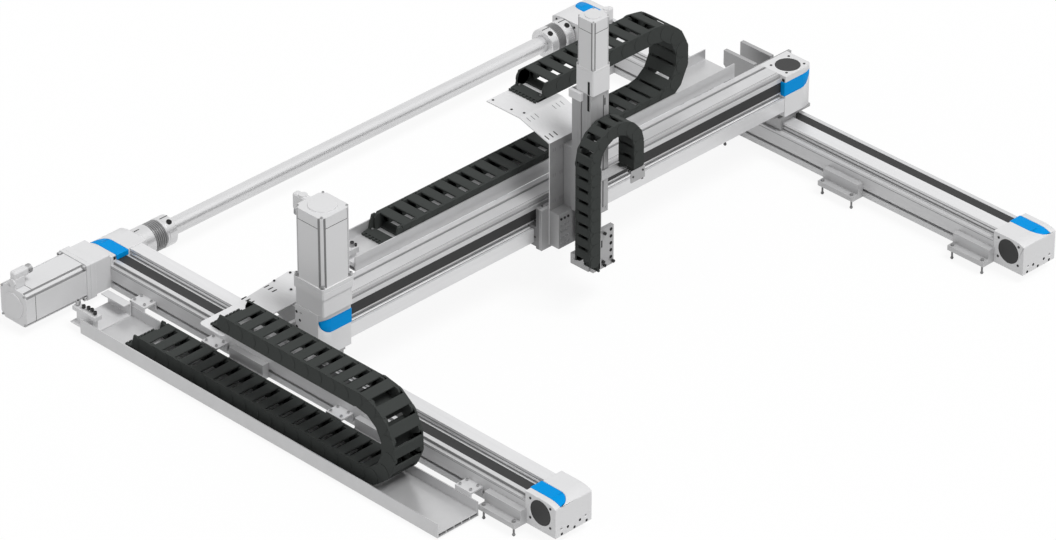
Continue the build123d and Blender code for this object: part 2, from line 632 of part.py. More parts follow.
def connecting_shaft():
    """The tube between the two drive pulleys, with a clamp coupling at each end."""
    line = Pos(DRIVE_X, 0, PULLEY_HEIGHT)
    tube_ends = []
    for face, direction, hub_length in ((AXIS_WIDTH, 1, NEAR_HUB_LENGTH), (AXIS_SPACING, -1, FAR_HUB_LENGTH)):
        start = face + direction * COUPLING_END_GAP
        middle = start + direction * hub_length
        tube_end = middle + direction * BELLOWS_LENGTH
        outer = tube_end + direction * TUBE_HUB_LENGTH
        coupling = clamp_hub((start, middle), SHAFT_RADIUS) + bellows((middle, tube_end))
        add("shaft_couplings", line * (coupling + clamp_hub((tube_end, outer), TUBE_RADIUS)))
        tube_ends.append(tube_end)
    tube = rod_y(TUBE_RADIUS, 0, tube_ends, 0) - rod_y(TUBE_RADIUS - TUBE_WALL, 0, tube_ends, 0)
    add("connecting_shaft", line * tube)


# Supports and trays


def levelling_foot():
    """A screw with a ball foot below the block and a hexagon nut on top of it."""
    waist = FOOT_BALL_RADIUS * sin(pi / 4)
    neck = FOOT_BALL_RADIUS + waist
    rings = ((0, waist), (FOOT_BALL_RADIUS - waist / 2, FOOT_BALL_RADIUS), (neck, FOOT_STEM_RADIUS))
    ball = [Pos(0, 0, z - FOOT_DROP) * RegularPolygon(radius, FOOT_SIDES) for z, radius in rings]
    top = SUPPORT_BASE + FOOT_HEAD
    foot = loft(ball, ruled=True) + prism(FOOT_STEM_RADIUS, (neck - FOOT_DROP, top), FOOT_SIDES)
    return foot + prism(2 * FOOT_STEM_RADIUS, (SUPPORT_BASE, top), NUT_SIDES)


def supports():
    """Foot blocks beside both lower axes, each with a bar along the axis's side and two levelling feet.

    The near axis has the block at its drive end on its inner side, clear of the cable clamp.
    """
    length = around(0, SUPPORT_LENGTH)
    foot_y = FOOT_INSET - SUPPORT_REACH
    body = block(length, (-SUPPORT_REACH, 0), (0, SUPPORT_BASE))
    body += block(length, (-SUPPORT_BAR, 0), (SUPPORT_BASE, SUPPORT_HEIGHT))
    for side in (-1, 1):
        body -= Pos(side * FOOT_SPREAD, foot_y, 0) * prism(FOOT_STEM_RADIUS, (0, SUPPORT_BASE), FOOT_SIDES)
    foot = levelling_foot()
    for y in (0, AXIS_SPACING):
        for index in range(SUPPORT_COUNT):
            place = Pos(-SUPPORT_FIRST - index * SUPPORT_PITCH, y, 0)
            if y == 0 and index == SUPPORT_COUNT - 1:
                place = place * Pos(0, AXIS_WIDTH, 0) * Rot(0, 0, 180)
            add("support_blocks", place * body)
            for side in (-1, 1):
                add("levelling_feet", place * Pos(side * FOOT_SPREAD, foot_y, 0) * foot)


def tray_sections(width):
    """The hollow floor profile and the two side rails of a tray, with the floor's top at zero."""
    inside = width - 2 * TRAY_WALL
    floor = Pos(0, -TRAY_FLOOR / 2) * Rectangle(inside, TRAY_FLOOR)
    room = inside / TRAY_ROOMS
    for index in range(TRAY_ROOMS):
        middle = (index - (TRAY_ROOMS - 1) / 2) * room
        floor -= Pos(middle, -TRAY_FLOOR / 2) * Rectangle(room - TRAY_SKIN, TRAY_FLOOR - 2 * TRAY_SKIN)
    rail = Pos((inside + TRAY_WALL) / 2, TRAY_HEIGHT / 2 - TRAY_FLOOR) * Rectangle(TRAY_WALL, TRAY_HEIGHT)
    return floor, rail, mirror(rail, about=Plane.YZ)


def x_tray():
    """The tray beside the near axis, its brackets, and the cable clamp on a sheet at its drive end."""
    outer_y = X_TRAY_INNER_Y - X_TRAY_WIDTH
    place = Pos(X_TRAY_BACK, X_TRAY_INNER_Y - X_TRAY_WIDTH / 2, X_TRAY_FLOOR)
    for section in tray_sections(X_TRAY_WIDTH):
        add("x_cable_tray", place * extrude(Plane.YZ * section, amount=X_TRAY_LENGTH))
    rim = X_TRAY_FLOOR + TRAY_HEIGHT - TRAY_FLOOR + X_BRACKET_RISE
    for index, step in enumerate(BRACKET_STEPS):
        span = around(-SUPPORT_FIRST - index * SUPPORT_PITCH + step, X_BRACKET_WIDTH)
        bracket = block(span, (X_TRAY_INNER_Y, 0), (rim, rim + BRACKET_THICKNESS))
        bracket += block(span, (-BRACKET_THICKNESS, 0), (rim - BRACKET_DROP, rim))
        bracket += block(span, (X_TRAY_INNER_Y, X_TRAY_INNER_Y + TRAY_WALL), (rim - BRACKET_DROP, rim))
        add("x_tray_brackets", bracket)
    cable_clamp(outer_y, rim)


def cable_clamp(outer_y, rim):
    """The clamp bar on its base at the drive end of the tray, on a sheet that is bent up beside it."""
    start = X_TRAY_BACK - CLAMP_OVERHANG
    span = (start, start + CLAMP_LENGTH)
    low = X_TRAY_FLOOR + SHEET_THICKNESS
    inner = X_TRAY_INNER_Y - TRAY_WALL - BELT_SIDE_GAP
    holder = block(span, (outer_y + TRAY_WALL + BELT_SIDE_GAP, inner), (X_TRAY_FLOOR, low))
    holder += block(span, (inner - SHEET_THICKNESS, inner), (low, rim))
    holder += block(span, (inner - CLAMP_FLANGE, inner), (rim, rim + SHEET_THICKNESS))
    middle = outer_y + CLAMP_FROM_EDGE
    base = (span[0] + CLAMP_BASE_INSET, span[1] - CLAMP_BASE_INSET)
    bar = block(base, around(middle, CLAMP_BASE_WIDTH), (low, CLAMP_BASE_TOP))
    bar += block(span, around(middle, CLAMP_WIDTH), (CLAMP_BASE_TOP, CLAMP_BASE_TOP + CLAMP_HEIGHT))
    add("x_cable_clamp", holder + bar)


def y_tray():
    """The tray behind the cross beam, level with its top, on angle brackets on the beam's back."""
    place = Pos(Y_CHAIN_CENTRE_X, Y_TRAY_START, Y_TRAY_FLOOR)
    for section in tray_sections(Y_TRAY_WIDTH):
        add("y_cable_tray", place * extrude(Plane.XZ * section, amount=-Y_TRAY_LENGTH))
    back = Y_TRAY_INNER_X - Y_TRAY_WIDTH
    for index in range(Y_BRACKET_COUNT):
        span = around(Y_TRAY_START + (index + 0.5) * Y_TRAY_LENGTH / Y_BRACKET_COUNT, BRACKET_WIDTH)
        arm = block((back, BEAM_BACK_X), span, (BEAM_TOP - BRACKET_THICKNESS, BEAM_TOP))
        leg = (BEAM_BACK_X - BRACKET_THICKNESS, BEAM_BACK_X)
        arm += block(leg, span, (BEAM_TOP - Y_BRACKET_DROP, BEAM_TOP))
        add("y_tray_brackets", arm)


# Cross beam


def cross_beam():
    """The upper axis, on its side across the lower ones, with its belt and rail facing forward."""
    ends = belt_axis(BEAM_AXIS, Y_PROFILE_LENGTH, False, ("y_profile", "y_guide_rail", "y_belt"))
    add("y_end_caps", *ends(end_cap(True, False), end_cap(False, False)))
    add("y_belt_covers", *ends(accent_cover(), accent_cover()))
    for ring in bearings():
        add("y_bearings", *ends(ring, ring))
    outer, inner = cover_disc(0), cover_disc(AXIS_WIDTH)
    add("y_bearing_covers", ends(outer, outer)[1], *ends(inner, inner))
    drive = pulley(-HOUSING_FLOOR - SHAFT_SEAT, SHAFT_SPAN[1])
    idler = pulley(*SHAFT_SPAN)
    drive_place, idler_place = ends(drive, idler)
    add("y_drive_pulley", drive_place)
    add("y_idler_pulley", idler_place)


def runner(low):
    """A runner that straddles a rail, in an axis's local frame."""
    inside = RAIL_WIDTH + 2 * RUNNING_GAP
    span = (low, low + RUNNER_LENGTH)
    body = block(span, around(RAIL_CENTRE, inside + 2 * RUNNER_LEG), (BODY_HEIGHT + RUNNER_LIFT, RUNNER_TOP))
    return body - block(span, around(RAIL_CENTRE, inside), (BODY_HEIGHT, RAIL_TOP + RUNNING_GAP))


def carriage(start):
    """Two runners, the plate over them and the clamp over the belt, in an axis's local frame."""
    end = start + CARRIAGE_LENGTH
    width = (PLATE_SIDE_INSET, AXIS_WIDTH - PLATE_SIDE_INSET)
    plate = block((start, end), width, (RUNNER_TOP, CARRIAGE_TOP))
    clamp = around((start + end) / 2, BELT_CLAMP_LENGTH)
    plate += block(clamp, around(BELT_CENTRE, BELT_WIDTH), (LANE_HEIGHT + RUNNING_GAP, RUNNER_TOP))
    return [runner(start), runner(end - RUNNER_LENGTH), plate]


def gusset(y, top):
    """A thick rib behind the beam's bracket, deepest at its top."""
    back = BEAM_BACK_X - UPRIGHT_THICKNESS
    tip = back - GUSSET_REACH
    foot = (back - GUSSET_FOOT, BEAM_BOTTOM)
    outline = Polygon((back, BEAM_BOTTOM), (back, top), (tip, top), (tip, top - GUSSET_TIP), foot, align=None)
    rib = extrude(Plane.XZ * outline, amount=GUSSET_THICKNESS / 2, both=True)
    return Pos(0, y, 0) * rib


def beam_supports():
    """The carriages on the lower axes and the brackets that stand the beam on them."""
    start = BEAM_BACK_X + CARRIAGE_AHEAD - CARRIAGE_LENGTH
    near = NEAR_AXIS * Pos(start, 0, 0)
    far = FAR_AXIS * Pos(-start - CARRIAGE_LENGTH, 0, 0)
    for place in (near, far):
        add("x_carriages", *[place * piece for piece in carriage(0)])
    near_edges = (PLATE_SIDE_INSET, AXIS_WIDTH + GUSSET_THICKNESS)
    far_edges = (AXIS_SPACING + AXIS_WIDTH - PLATE_SIDE_INSET, AXIS_SPACING - GUSSET_THICKNESS)
    for edges, gusset_top in ((near_edges, X_PLATE_TOP - SHEET_THICKNESS), (far_edges, BEAM_TOP)):
        bracket = block((start, start + BEAM_BASE_LENGTH), edges, (CARRIAGE_TOP, BEAM_BOTTOM))
        back = (BEAM_BACK_X - UPRIGHT_THICKNESS, BEAM_BACK_X)
        bracket += block(back, edges, (BEAM_BOTTOM, gusset_top - UPRIGHT_DROP))
        outward = 1 if edges[1] < edges[0] else -1
        inner_gusset = edges[1] + outward * GUSSET_THICKNESS / 2
        for gusset_y in (inner_gusset, inner_gusset + outward * GUSSET_SPACING):
            bracket += gusset(gusset_y, gusset_top)
        add("beam_brackets", bracket)


# Energy chains


def chain_joints(pitch, radius, run, links):
    """The joints of a chain that runs along +X to zero, bends up through a half turn and runs back."""
    bend = pi * radius

    def point(distance):
        if distance < run:
            return Vector(distance - run, 0, 0)
        if distance < run + bend:
            angle = (distance - run) / radius
            return Vector(radius * sin(angle), 0, radius * (1 - cos(angle)))
        return Vector(run + bend - distance, 0, 2 * radius)

    distance = 0.0
    joints = [point(distance)]
    chord_step = 2 * radius * asin(pitch / (2 * radius))
    for _ in range(links):
        step = pitch
        low, high = pitch, chord_step
        while high - low > JOINT_TOLERANCE:
            step = (low + high) / 2
            if (point(distance + step) - joints[-1]).length < pitch:
                low = step
            else:
                high = step
        distance += step
        joints.append(point(distance))
    return joints


def link(pitch, width, height, inner):
    """One chain link along +X from joint to joint: two side plates joined by a bar above and a bar below."""
    inset = LINK_SIDE + LINK_PLAY if inner else 0
    plate_length = pitch * (1 + LINK_OVERLAP_SHARE)
    outline = chamfer(Rectangle(plate_length, height).vertices(), height * LINK_CORNER_SHARE)
    plate = extrude(Plane.XZ * outline, amount=LINK_SIDE)
    body = Pos(0, LINK_SIDE + inset - width / 2, 0) * plate
    body += Pos(0, width / 2 - inset, 0) * plate
    span = width - 2 * inset - LINK_SIDE
    for side in (-1, 1):
        body += Pos(0, 0, side * (height - LINK_BAR) / 2) * Box(pitch * LINK_BAR_SHARE, span, LINK_BAR)
    return Pos(pitch / 2, 0, 0) * body


def comb(pitch, width, height):
    """The end bracket of a chain, lying before the origin along -X, with strain relief teeth."""
    low = -height / 2
    reach = pitch * COMB_SHARE
    face = -pitch * LINK_OVERLAP_SHARE / 2 - LINK_PLAY
    body = block((-reach, face), (-width / 2, width / 2), (low, low + COMB_BASE))
    for side in (-1, 1):
        ear = (side * width / 2, side * (width / 2 - LINK_SIDE))
        body += block((face - reach / 2, face), ear, (low, height / 4))
    room = width / COMB_TEETH
    for index in range(COMB_TEETH):
        y = (index - (COMB_TEETH - 1) / 2) * room
        body += block((-reach - COMB_TOOTH, -reach), around(y, room / 2), (low, low + COMB_BASE))
    return body


def place_chain(prefix, stand, size, radius, run, links, fixed_end, moving_end):
    """Links in place from the fixed end to the moving end, with the half turn in two nodes."""
    joints = chain_joints(size[0], radius, run, links)
    kinds = [link(*size, False), link(*size, True)]
    for index, (start, end) in enumerate(zip(joints, joints[1:])):
        middle = (start + end) / 2
        rise = end - start
        turn = Vector(1, 0, 0).get_signed_angle(rise, Vector(0, -1, 0))
        if middle.X > 0:
            node = "_chain_turn_lower" if middle.Z < radius else "_chain_turn_upper"
        else:
            node = "_chain_fixed_run" if middle.Z < radius else "_chain_moving_run"
        add(prefix + node, stand * Pos(*start) * Rot(0, -turn, 0) * kinds[index % 2])
    add(fixed_end, stand * Pos(*joints[0]) * comb(*size))
    add(moving_end, stand * Pos(*joints[-1]) * comb(*size))
    return joints[-1]


def slots(x, y, turn):
    """A row of short slots for cable ties, about a point."""
    row = Sketch()
    for index in range(PLATE_SLOT_COUNT):
        offset_y = (index - (PLATE_SLOT_COUNT - 1) / 2) * PLATE_SLOT_PITCH
        row += Pos(0, offset_y) * Rectangle(PLATE_SLOT_LENGTH, PLATE_SLOT_WIDTH)
    return Pos(x, y) * Rot(0, 0, turn) * row


def x_chain():
    """The chain beside the near axis and the sheet that carries its moving end from the near gussets."""
    stand = Pos(X_CHAIN_TURN, X_CHAIN_CENTRE_Y, X_TRAY_FLOOR + CHAIN_HEIGHT / 2)
    size = (PITCH, CHAIN_WIDTH, CHAIN_HEIGHT)
    place_chain("x", stand, size, X_CHAIN_RADIUS, X_CHAIN_RUN, X_CHAIN_LINKS, "x_chain_fixed_end",
                "x_chain_plate")
    outer_y = X_CHAIN_CENTRE_Y - CHAIN_WIDTH / 2 - X_PLATE_MARGIN
    inner_y = X_CHAIN_CENTRE_Y + CHAIN_WIDTH / 2
    tip = BEAM_BACK_X - UPRIGHT_THICKNESS - GUSSET_REACH
    outline = Polygon(
        (X_PLATE_BACK, X_PLATE_INNER_Y),
        (X_PLATE_CORNER, X_PLATE_INNER_Y),
        (X_PLATE_FRONT, X_PLATE_CORNER_Y),
        (X_PLATE_FRONT, inner_y),
        (X_PLATE_FRONT - X_PLATE_MARGIN, outer_y),
        (X_PLATE_CHAIN_BACK, outer_y),
        (X_PLATE_CHAIN_BACK, inner_y + X_PLATE_MARGIN),
        align=None,
    )
    plan = fillet(outline.vertices(), PLATE_CORNER)
    plan -= slots(tip - 2 * X_PLATE_MARGIN, X_PLATE_CORNER_Y - AXIS_WIDTH / 4, 90)
    plan -= slots(tip - 2 * X_PLATE_MARGIN, -PLATE_SLOT_WIDTH, 90)
    add("x_chain_plate", sheet(plan, X_PLATE_TOP - SHEET_THICKNESS))


def y_chain():
    """The chain in the beam's tray and the bent sheet that carries its moving end over the beam."""
    floor = Y_TRAY_FLOOR + CHAIN_HEIGHT / 2
    origin = (Y_CHAIN_CENTRE_X, Y_CHAIN_TURN, floor)
    stand = Plane(origin=origin, x_dir=(0, 1, 0), z_dir=(0, 0, 1)).location
    size = (PITCH, CHAIN_WIDTH, CHAIN_HEIGHT)
    place_chain("y", stand, size, Y_CHAIN_RADIUS, Y_CHAIN_RUN, Y_CHAIN_LINKS, "y_chain_fixed_end",
                "y_chain_plate")
    front = BEAM_CARRIAGE_X + Z_PLATE_THICKNESS + SHEET_THICKNESS
    left, right = around(Y_CARRIAGE_CENTRE, Y_PLATE_WIDTH)
    low = BEAM_BOTTOM + Y_PLATE_LOW
    bend = Y_PLATE_TOP - Y_PLATE_RISE
    back = front - SHEET_THICKNESS
    under = Y_PLATE_TOP - SHEET_THICKNESS
    outline = Polygon(
        (front, low),
        (front, bend),
        (Y_PLATE_BEND, Y_PLATE_TOP),
        (Y_PLATE_BACK, Y_PLATE_TOP),
        (Y_PLATE_BACK, under),
        (Y_PLATE_BEND, under),
        (back, bend - SHEET_THICKNESS),
        (back, low),
        align=None,
    )
    plate = extrude(Pos(0, right, 0) * Plane.XZ.location * outline, Y_PLATE_WIDTH)
    add("y_chain_plate", plate)


# Vertical unit


def y_carriage():
    """The carriage on the beam."""
    start = BEAM_END_Y - Y_CARRIAGE_START - CARRIAGE_LENGTH
    add("y_carriage", *[BEAM_AXIS * piece for piece in carriage(start)])


def z_mounting():
    """The adapter plate on the carriage and the block and clamp that hold the vertical unit."""
    back = BEAM_CARRIAGE_X + Z_PLATE_THICKNESS
    height = (BEAM_BOTTOM + PLATE_SIDE_INSET, BEAM_TOP - PLATE_SIDE_INSET)
    length = around(Y_CARRIAGE_CENTRE, CARRIAGE_LENGTH)
    add("z_mounting_plates", block((BEAM_CARRIAGE_X, back), length, height))
    face = back + SHEET_THICKNESS + Z_BLOCK_THICKNESS
    mount = block((back + SHEET_THICKNESS, face), around(Y_CARRIAGE_CENTRE, Z_BLOCK_WIDTH),
                  (BEAM_BOTTOM + Y_PLATE_LOW, BEAM_TOP))
    front = face + Z_CLAMP_THICKNESS
    width = around(Y_CARRIAGE_CENTRE, Z_BLOCK_WIDTH - 2 * Z_CLAMP_INSET)
    mount += block((face, front), width, (BEAM_BOTTOM + Z_CLAMP_INSET, Z_BODY_BOTTOM + Z_BODY_LENGTH / 2))
    add("z_mounting_plates", mount)
    return front


def z_unit():
    """The vertical unit: guide body, motor stack, screw, sliding bar with yoke and tool plate, and chain."""
    back = z_mounting()
    front = back + Z_BODY_DEPTH
    centre = Y_CARRIAGE_CENTRE
    top = Z_BODY_BOTTOM + Z_BODY_LENGTH
    bar = (back + Z_BODY_WALL, back + Z_BODY_WALL + Z_SLIDE_DEPTH)
    screw_x = bar[1] + RUNNING_GAP + Z_NUT_ROOM + Z_NUT_RADIUS
    z_body(back, front, centre, top, bar, screw_x)
    stand = Pos(screw_x, centre, top)
    z_motor(stand)
    hub_low = top + Z_HOUSING_FLOOR + Z_NUT_ROOM
    screw_span = (Z_BODY_BOTTOM + Z_BODY_WALL, top + Z_HOUSING_LENGTH + SHAFT_SEAT)
    screw = rod_z(Z_SCREW_RADIUS, screw_x, centre, screw_span)
    add("z_screw", screw + rod_z(Z_HUB_RADIUS, screw_x, centre, (hub_low, hub_low + Z_HUB_LENGTH)))
    plate_front = z_slide(centre, bar, screw_x)
    z_chain(front, plate_front, centre + Z_CHAIN_SHIFT)


def z_body(back, front, centre, top, bar, screw_x):
    """The guide body with a channel for the bar, a chamber for the nut and slots down its sides and front."""
    body = block((back, front), around(centre, Z_BODY_WIDTH), (Z_BODY_BOTTOM, top))
    channel = (bar[0] - RUNNING_GAP, bar[1] + RUNNING_GAP)
    body -= block(channel, around(centre, Z_SLIDE_WIDTH + 2 * RUNNING_GAP), (Z_BODY_BOTTOM, top - Z_BODY_END))
    room = Z_NUT_RADIUS + Z_NUT_ROOM
    chamber = (Z_BODY_BOTTOM + Z_BODY_END, top - Z_BODY_END)
    body -= block((channel[1], screw_x + room), around(centre, 2 * room), chamber)
    body -= rod_z(Z_SCREW_RADIUS + SHAFT_FIT, screw_x, centre, (Z_BODY_BOTTOM + Z_BODY_WALL, top))
    for side in (-1, 1):
        edge = centre + side * Z_BODY_WIDTH / 2
        body -= block(around((back + front) / 2, Z_SLOT), (edge - side * Z_SLOT, edge), chamber)
    slot_y = centre + Z_BODY_WIDTH / 2 - Z_FRONT_SLOT_INSET
    body -= block((front - Z_SLOT, front), around(slot_y, Z_SLOT), chamber)
    add("z_body", body)


def z_motor(stand):
    """Coupling housing and motor on top of the guide body."""
    housing = squared(Z_MOTOR_FLANGE, HOUSING_EDGE, 0, Z_HOUSING_LENGTH)
    housing -= squared(2 * Z_HOUSING_BORE, HOUSING_EDGE, Z_HOUSING_FLOOR, Z_HOUSING_LENGTH)
    housing -= prism(Z_SCREW_RADIUS + SHAFT_FIT, (0, Z_HOUSING_FLOOR), HIDDEN_SIDES, True)
    add("z_coupling_housing", stand * housing)
    place = stand * Pos(0, 0, Z_HOUSING_LENGTH) * Rot(0, 0, 90)
    case = motor_case(Z_MOTOR_FLANGE, Z_MOTOR_FLANGE_THICKNESS, Z_MOTOR_BODY, Z_MOTOR_CHAMFER, Z_MOTOR_GROOVE,
                      Z_MOTOR_LENGTH)
    case -= rod_z(Z_SCREW_RADIUS + SHAFT_FIT, 0, 0, (0, SHAFT_SEAT + RUNNING_GAP))
    bell_low = Z_MOTOR_FLANGE_THICKNESS + Z_MOTOR_LENGTH
    bell = end_bell(Z_MOTOR_BODY, Z_MOTOR_CHAMFER, bell_low, Z_BELL_LENGTH)
    plug = connector(Z_MOTOR_BODY, Z_CONNECTOR_RADIUS, Z_CONNECTOR_LENGTH, bell_low + Z_BELL_LENGTH)
    add("z_motor", place * case, place * (bell + plug))


def z_slide(centre, bar, screw_x):
    """The sliding bar with its nut, yoke and tool plate; returns the face of the tool plate."""
    low = YOKE_BOTTOM + YOKE_HEIGHT
    top = low + Z_SLIDE_LENGTH
    add("z_slide_bar", block(bar, around(centre, Z_SLIDE_WIDTH), (low, top)))
    nut_span = (top - Z_NUT_DROP - Z_NUT_LENGTH, top - Z_NUT_DROP)
    nut = rod_z(Z_NUT_RADIUS, screw_x, centre, nut_span)
    nut += block((bar[1], screw_x), around(centre, Z_NUT_NECK), nut_span)
    add("z_slide_bar", nut - rod_z(Z_SCREW_RADIUS + SHAFT_FIT, screw_x, centre, nut_span))
    plate_x = (bar[0] + YOKE_DEPTH, bar[0] + YOKE_DEPTH + TOOL_PLATE_THICKNESS)
    yoke = block((bar[0], plate_x[0]), around(centre, YOKE_WIDTH), (YOKE_BOTTOM, low))
    middle = (bar[0] + plate_x[0]) / 2
    for x in around(middle, YOKE_HOLE_SPACING_X):
        for y in around(centre, YOKE_HOLE_SPACING_Y):
            yoke -= rod_z(TOOL_HOLE_RADIUS, x, y, (YOKE_BOTTOM, YOKE_BOTTOM + YOKE_HOLE_DEPTH))
    add("z_yoke", yoke)
    plate_top = YOKE_BOTTOM + TOOL_PLATE_HEIGHT
    plate = block(plate_x, around(centre, TOOL_PLATE_WIDTH), (YOKE_BOTTOM, plate_top))
    for index in range(TOOL_HOLE_COUNT):
        z = plate_top - TOOL_HOLE_INSET - index * TOOL_HOLE_PITCH
        plate -= rod_x(TOOL_HOLE_RADIUS, plate_x, centre + TOOL_PLATE_WIDTH / 2 - TOOL_HOLE_INSET, z)
    add("z_tool_plate", plate)
    return plate_x[1]


def z_chain(front, plate_front, centre):
    """The small chain in front of the guide body, on a bracket beside it and on an arm of the tool plate."""
    x = front + Z_CHAIN_GAP + Z_CHAIN_WIDTH / 2
    origin = (x, centre + Z_CHAIN_RADIUS, Z_CHAIN_TURN)
    stand = Plane(origin=origin, x_dir=(0, 0, 1), z_dir=(0, -1, 0)).location
    size = (Z_PITCH, Z_CHAIN_WIDTH, Z_CHAIN_HEIGHT)
    last = place_chain("z", stand, size, Z_CHAIN_RADIUS, Z_CHAIN_RUN, Z_CHAIN_LINKS, "z_chain_bracket",
                       "z_chain_arm")
    reach = Z_PITCH * COMB_SHARE
    far_x = x + Z_CHAIN_WIDTH / 2
    comb_high = Z_CHAIN_TURN - Z_CHAIN_RUN
    comb_side = centre + Z_CHAIN_RADIUS + Z_CHAIN_HEIGHT / 2
    height = (comb_high - reach, comb_high)
    bracket = block((front, front + SHEET_THICKNESS), (centre, comb_side + SHEET_THICKNESS), height)
    bracket += block((front, far_x), (comb_side, comb_side + SHEET_THICKNESS), height)
    add("z_chain_bracket", bracket)
    arm_high = Z_CHAIN_TURN + last.X
    height = (arm_high - reach, arm_high)
    comb_face = centre - Z_CHAIN_RADIUS + Z_CHAIN_HEIGHT / 2
    arm = block((plate_front, far_x), (comb_face, comb_face + SHEET_THICKNESS), height)
    arm += block((plate_front, plate_front + SHEET_THICKNESS), (comb_face, comb_face + ARM_REACH), height)
    add("z_chain_arm", arm)


def write_nodes():
    """Moves every node so that the origin is at the bottom centre of the whole, and writes it."""
    whole = Compound([solid for solids in NODES.values() for solid in solids]).bounding_box()
    shift = Pos(-(whole.min.X + whole.max.X) / 2, -(whole.min.Y + whole.max.Y) / 2, -whole.min.Z)
    os.makedirs("parts", exist_ok=True)
    for name, solids in NODES.items():
        export_step(Compound([shift * solid for solid in solids]), f"parts/{name}.step")
    print("nodes", len(NODES))
    print("origin shift", [round(value, 4) for value in shift.position])


lower_axes()
drive_stack("x", Plane(origin=(DRIVE_X, 0, PULLEY_HEIGHT), x_dir=(0, 0, 1), z_dir=(0, -1, 0)).location)
connecting_shaft()
supports()
x_tray()
cross_beam()
drive_stack("y", Plane(origin=(BEAM_BACK_X + PULLEY_HEIGHT, DRIVE_Y, BEAM_TOP), x_dir=(-1, 0, 0),
                       z_dir=(0, 0, 1)).location)
y_tray()
beam_supports()
y_carriage()
z_unit()
x_chain()
y_chain()
write_nodes()
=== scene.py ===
# %% [markdown]
# # A gantry robot, piece by piece
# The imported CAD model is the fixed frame: every body, size and joint is already there. What Blender adds
# is what the solids leave plain: surfaces, softened edges, screws, chain links and ribs. Everything is
# in metres, in the frame of the CAD model, so a piece goes where the machine says it is.

# %% The frame
import json
from math import cos, pi, radians, sin
import bmesh
import bpy
from mathutils import Matrix, Vector

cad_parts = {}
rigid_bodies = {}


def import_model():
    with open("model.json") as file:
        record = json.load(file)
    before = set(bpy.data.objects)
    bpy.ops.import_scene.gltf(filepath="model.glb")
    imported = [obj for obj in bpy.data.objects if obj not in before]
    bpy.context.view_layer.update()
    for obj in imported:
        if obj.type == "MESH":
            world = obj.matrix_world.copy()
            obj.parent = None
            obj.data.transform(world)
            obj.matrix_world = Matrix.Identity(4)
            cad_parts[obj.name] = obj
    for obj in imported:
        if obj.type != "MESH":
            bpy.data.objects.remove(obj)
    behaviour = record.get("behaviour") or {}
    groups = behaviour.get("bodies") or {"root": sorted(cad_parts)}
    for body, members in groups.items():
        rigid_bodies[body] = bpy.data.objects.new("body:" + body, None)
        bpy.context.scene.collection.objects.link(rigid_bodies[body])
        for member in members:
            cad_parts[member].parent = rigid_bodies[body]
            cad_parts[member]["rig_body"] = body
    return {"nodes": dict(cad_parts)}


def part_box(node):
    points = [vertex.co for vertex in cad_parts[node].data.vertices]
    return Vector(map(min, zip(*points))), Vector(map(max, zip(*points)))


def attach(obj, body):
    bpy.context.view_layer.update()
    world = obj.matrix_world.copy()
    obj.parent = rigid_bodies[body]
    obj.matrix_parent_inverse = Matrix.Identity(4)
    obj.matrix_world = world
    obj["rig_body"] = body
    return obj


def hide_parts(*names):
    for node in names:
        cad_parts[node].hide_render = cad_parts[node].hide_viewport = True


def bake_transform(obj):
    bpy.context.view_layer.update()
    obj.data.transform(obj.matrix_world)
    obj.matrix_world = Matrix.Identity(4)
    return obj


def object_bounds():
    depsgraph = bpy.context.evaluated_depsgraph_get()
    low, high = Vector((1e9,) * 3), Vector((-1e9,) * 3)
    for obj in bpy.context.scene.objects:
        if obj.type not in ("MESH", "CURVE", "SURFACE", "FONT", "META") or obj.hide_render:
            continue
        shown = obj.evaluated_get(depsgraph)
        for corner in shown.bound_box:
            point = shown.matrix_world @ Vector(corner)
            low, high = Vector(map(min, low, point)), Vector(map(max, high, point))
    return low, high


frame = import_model()
cad_box = [list(corner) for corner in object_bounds()]

# %% [markdown]
# The machine has three belt axes of one section. It is easiest to place a screw by its own axis: u along
# the axis, v across it from the belt side, w up from its base, in millimetres. Each axis gets a matrix
# that turns such a place into the row frame, so one list of screws serves all three.

# %% Places on the machine
MM = 0.001
X_LENGTH, BEAM_LENGTH = 1656, 1726
X_SPAN = 1766
# Every pulley's centre lies this far from the end of its axis, and as far above the axis's base.
PULLEY = 50
SHAFT = (PULLEY - X_LENGTH, 0, PULLEY)
OUTER_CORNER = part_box("x_end_caps")[0] + Vector((X_LENGTH * MM, 0, 0))


def at(x, y, z):
    """A point of the machine's layout in millimetres, from the near axis's outer bottom edge."""
    return OUTER_CORNER + Vector((x, y, z)) * MM


def stand(origin, along, across):
    """The matrix of a local frame in millimetres: along, across and their cross product."""
    along, across = Vector(along), Vector(across)
    turn = Matrix((along, across, along.cross(across))).transposed().to_4x4()
    return Matrix.Translation(at(*origin)) @ turn @ Matrix.Scale(MM, 4)


near = stand((-X_LENGTH, 0, 0), (1, 0, 0), (0, 1, 0))
far = stand((0, X_SPAN, 0), (-1, 0, 0), (0, -1, 0))
beam = stand((-905, 1746, 238), (0, -1, 0), (0, 0, -1))
x_motor = stand(SHAFT, (0, 0, 1), (-1, 0, 0))
y_motor = stand((-855, 70, 238), (-1, 0, 0), (0, -1, 0))
z_motor = stand((-713.7, 842, 637), (0, 1, 0), (-1, 0, 0))
layout = stand((0, 0, 0), (1, 0, 0), (0, 1, 0))
print("near axis starts at", [round(v, 3) for v in near.translation])

# %% [markdown]
# The photograph was taken with a long lens from the front right, looking down by about a third of a right
# angle. A long lens keeps parallel edges nearly parallel, which is what makes such a machine readable.

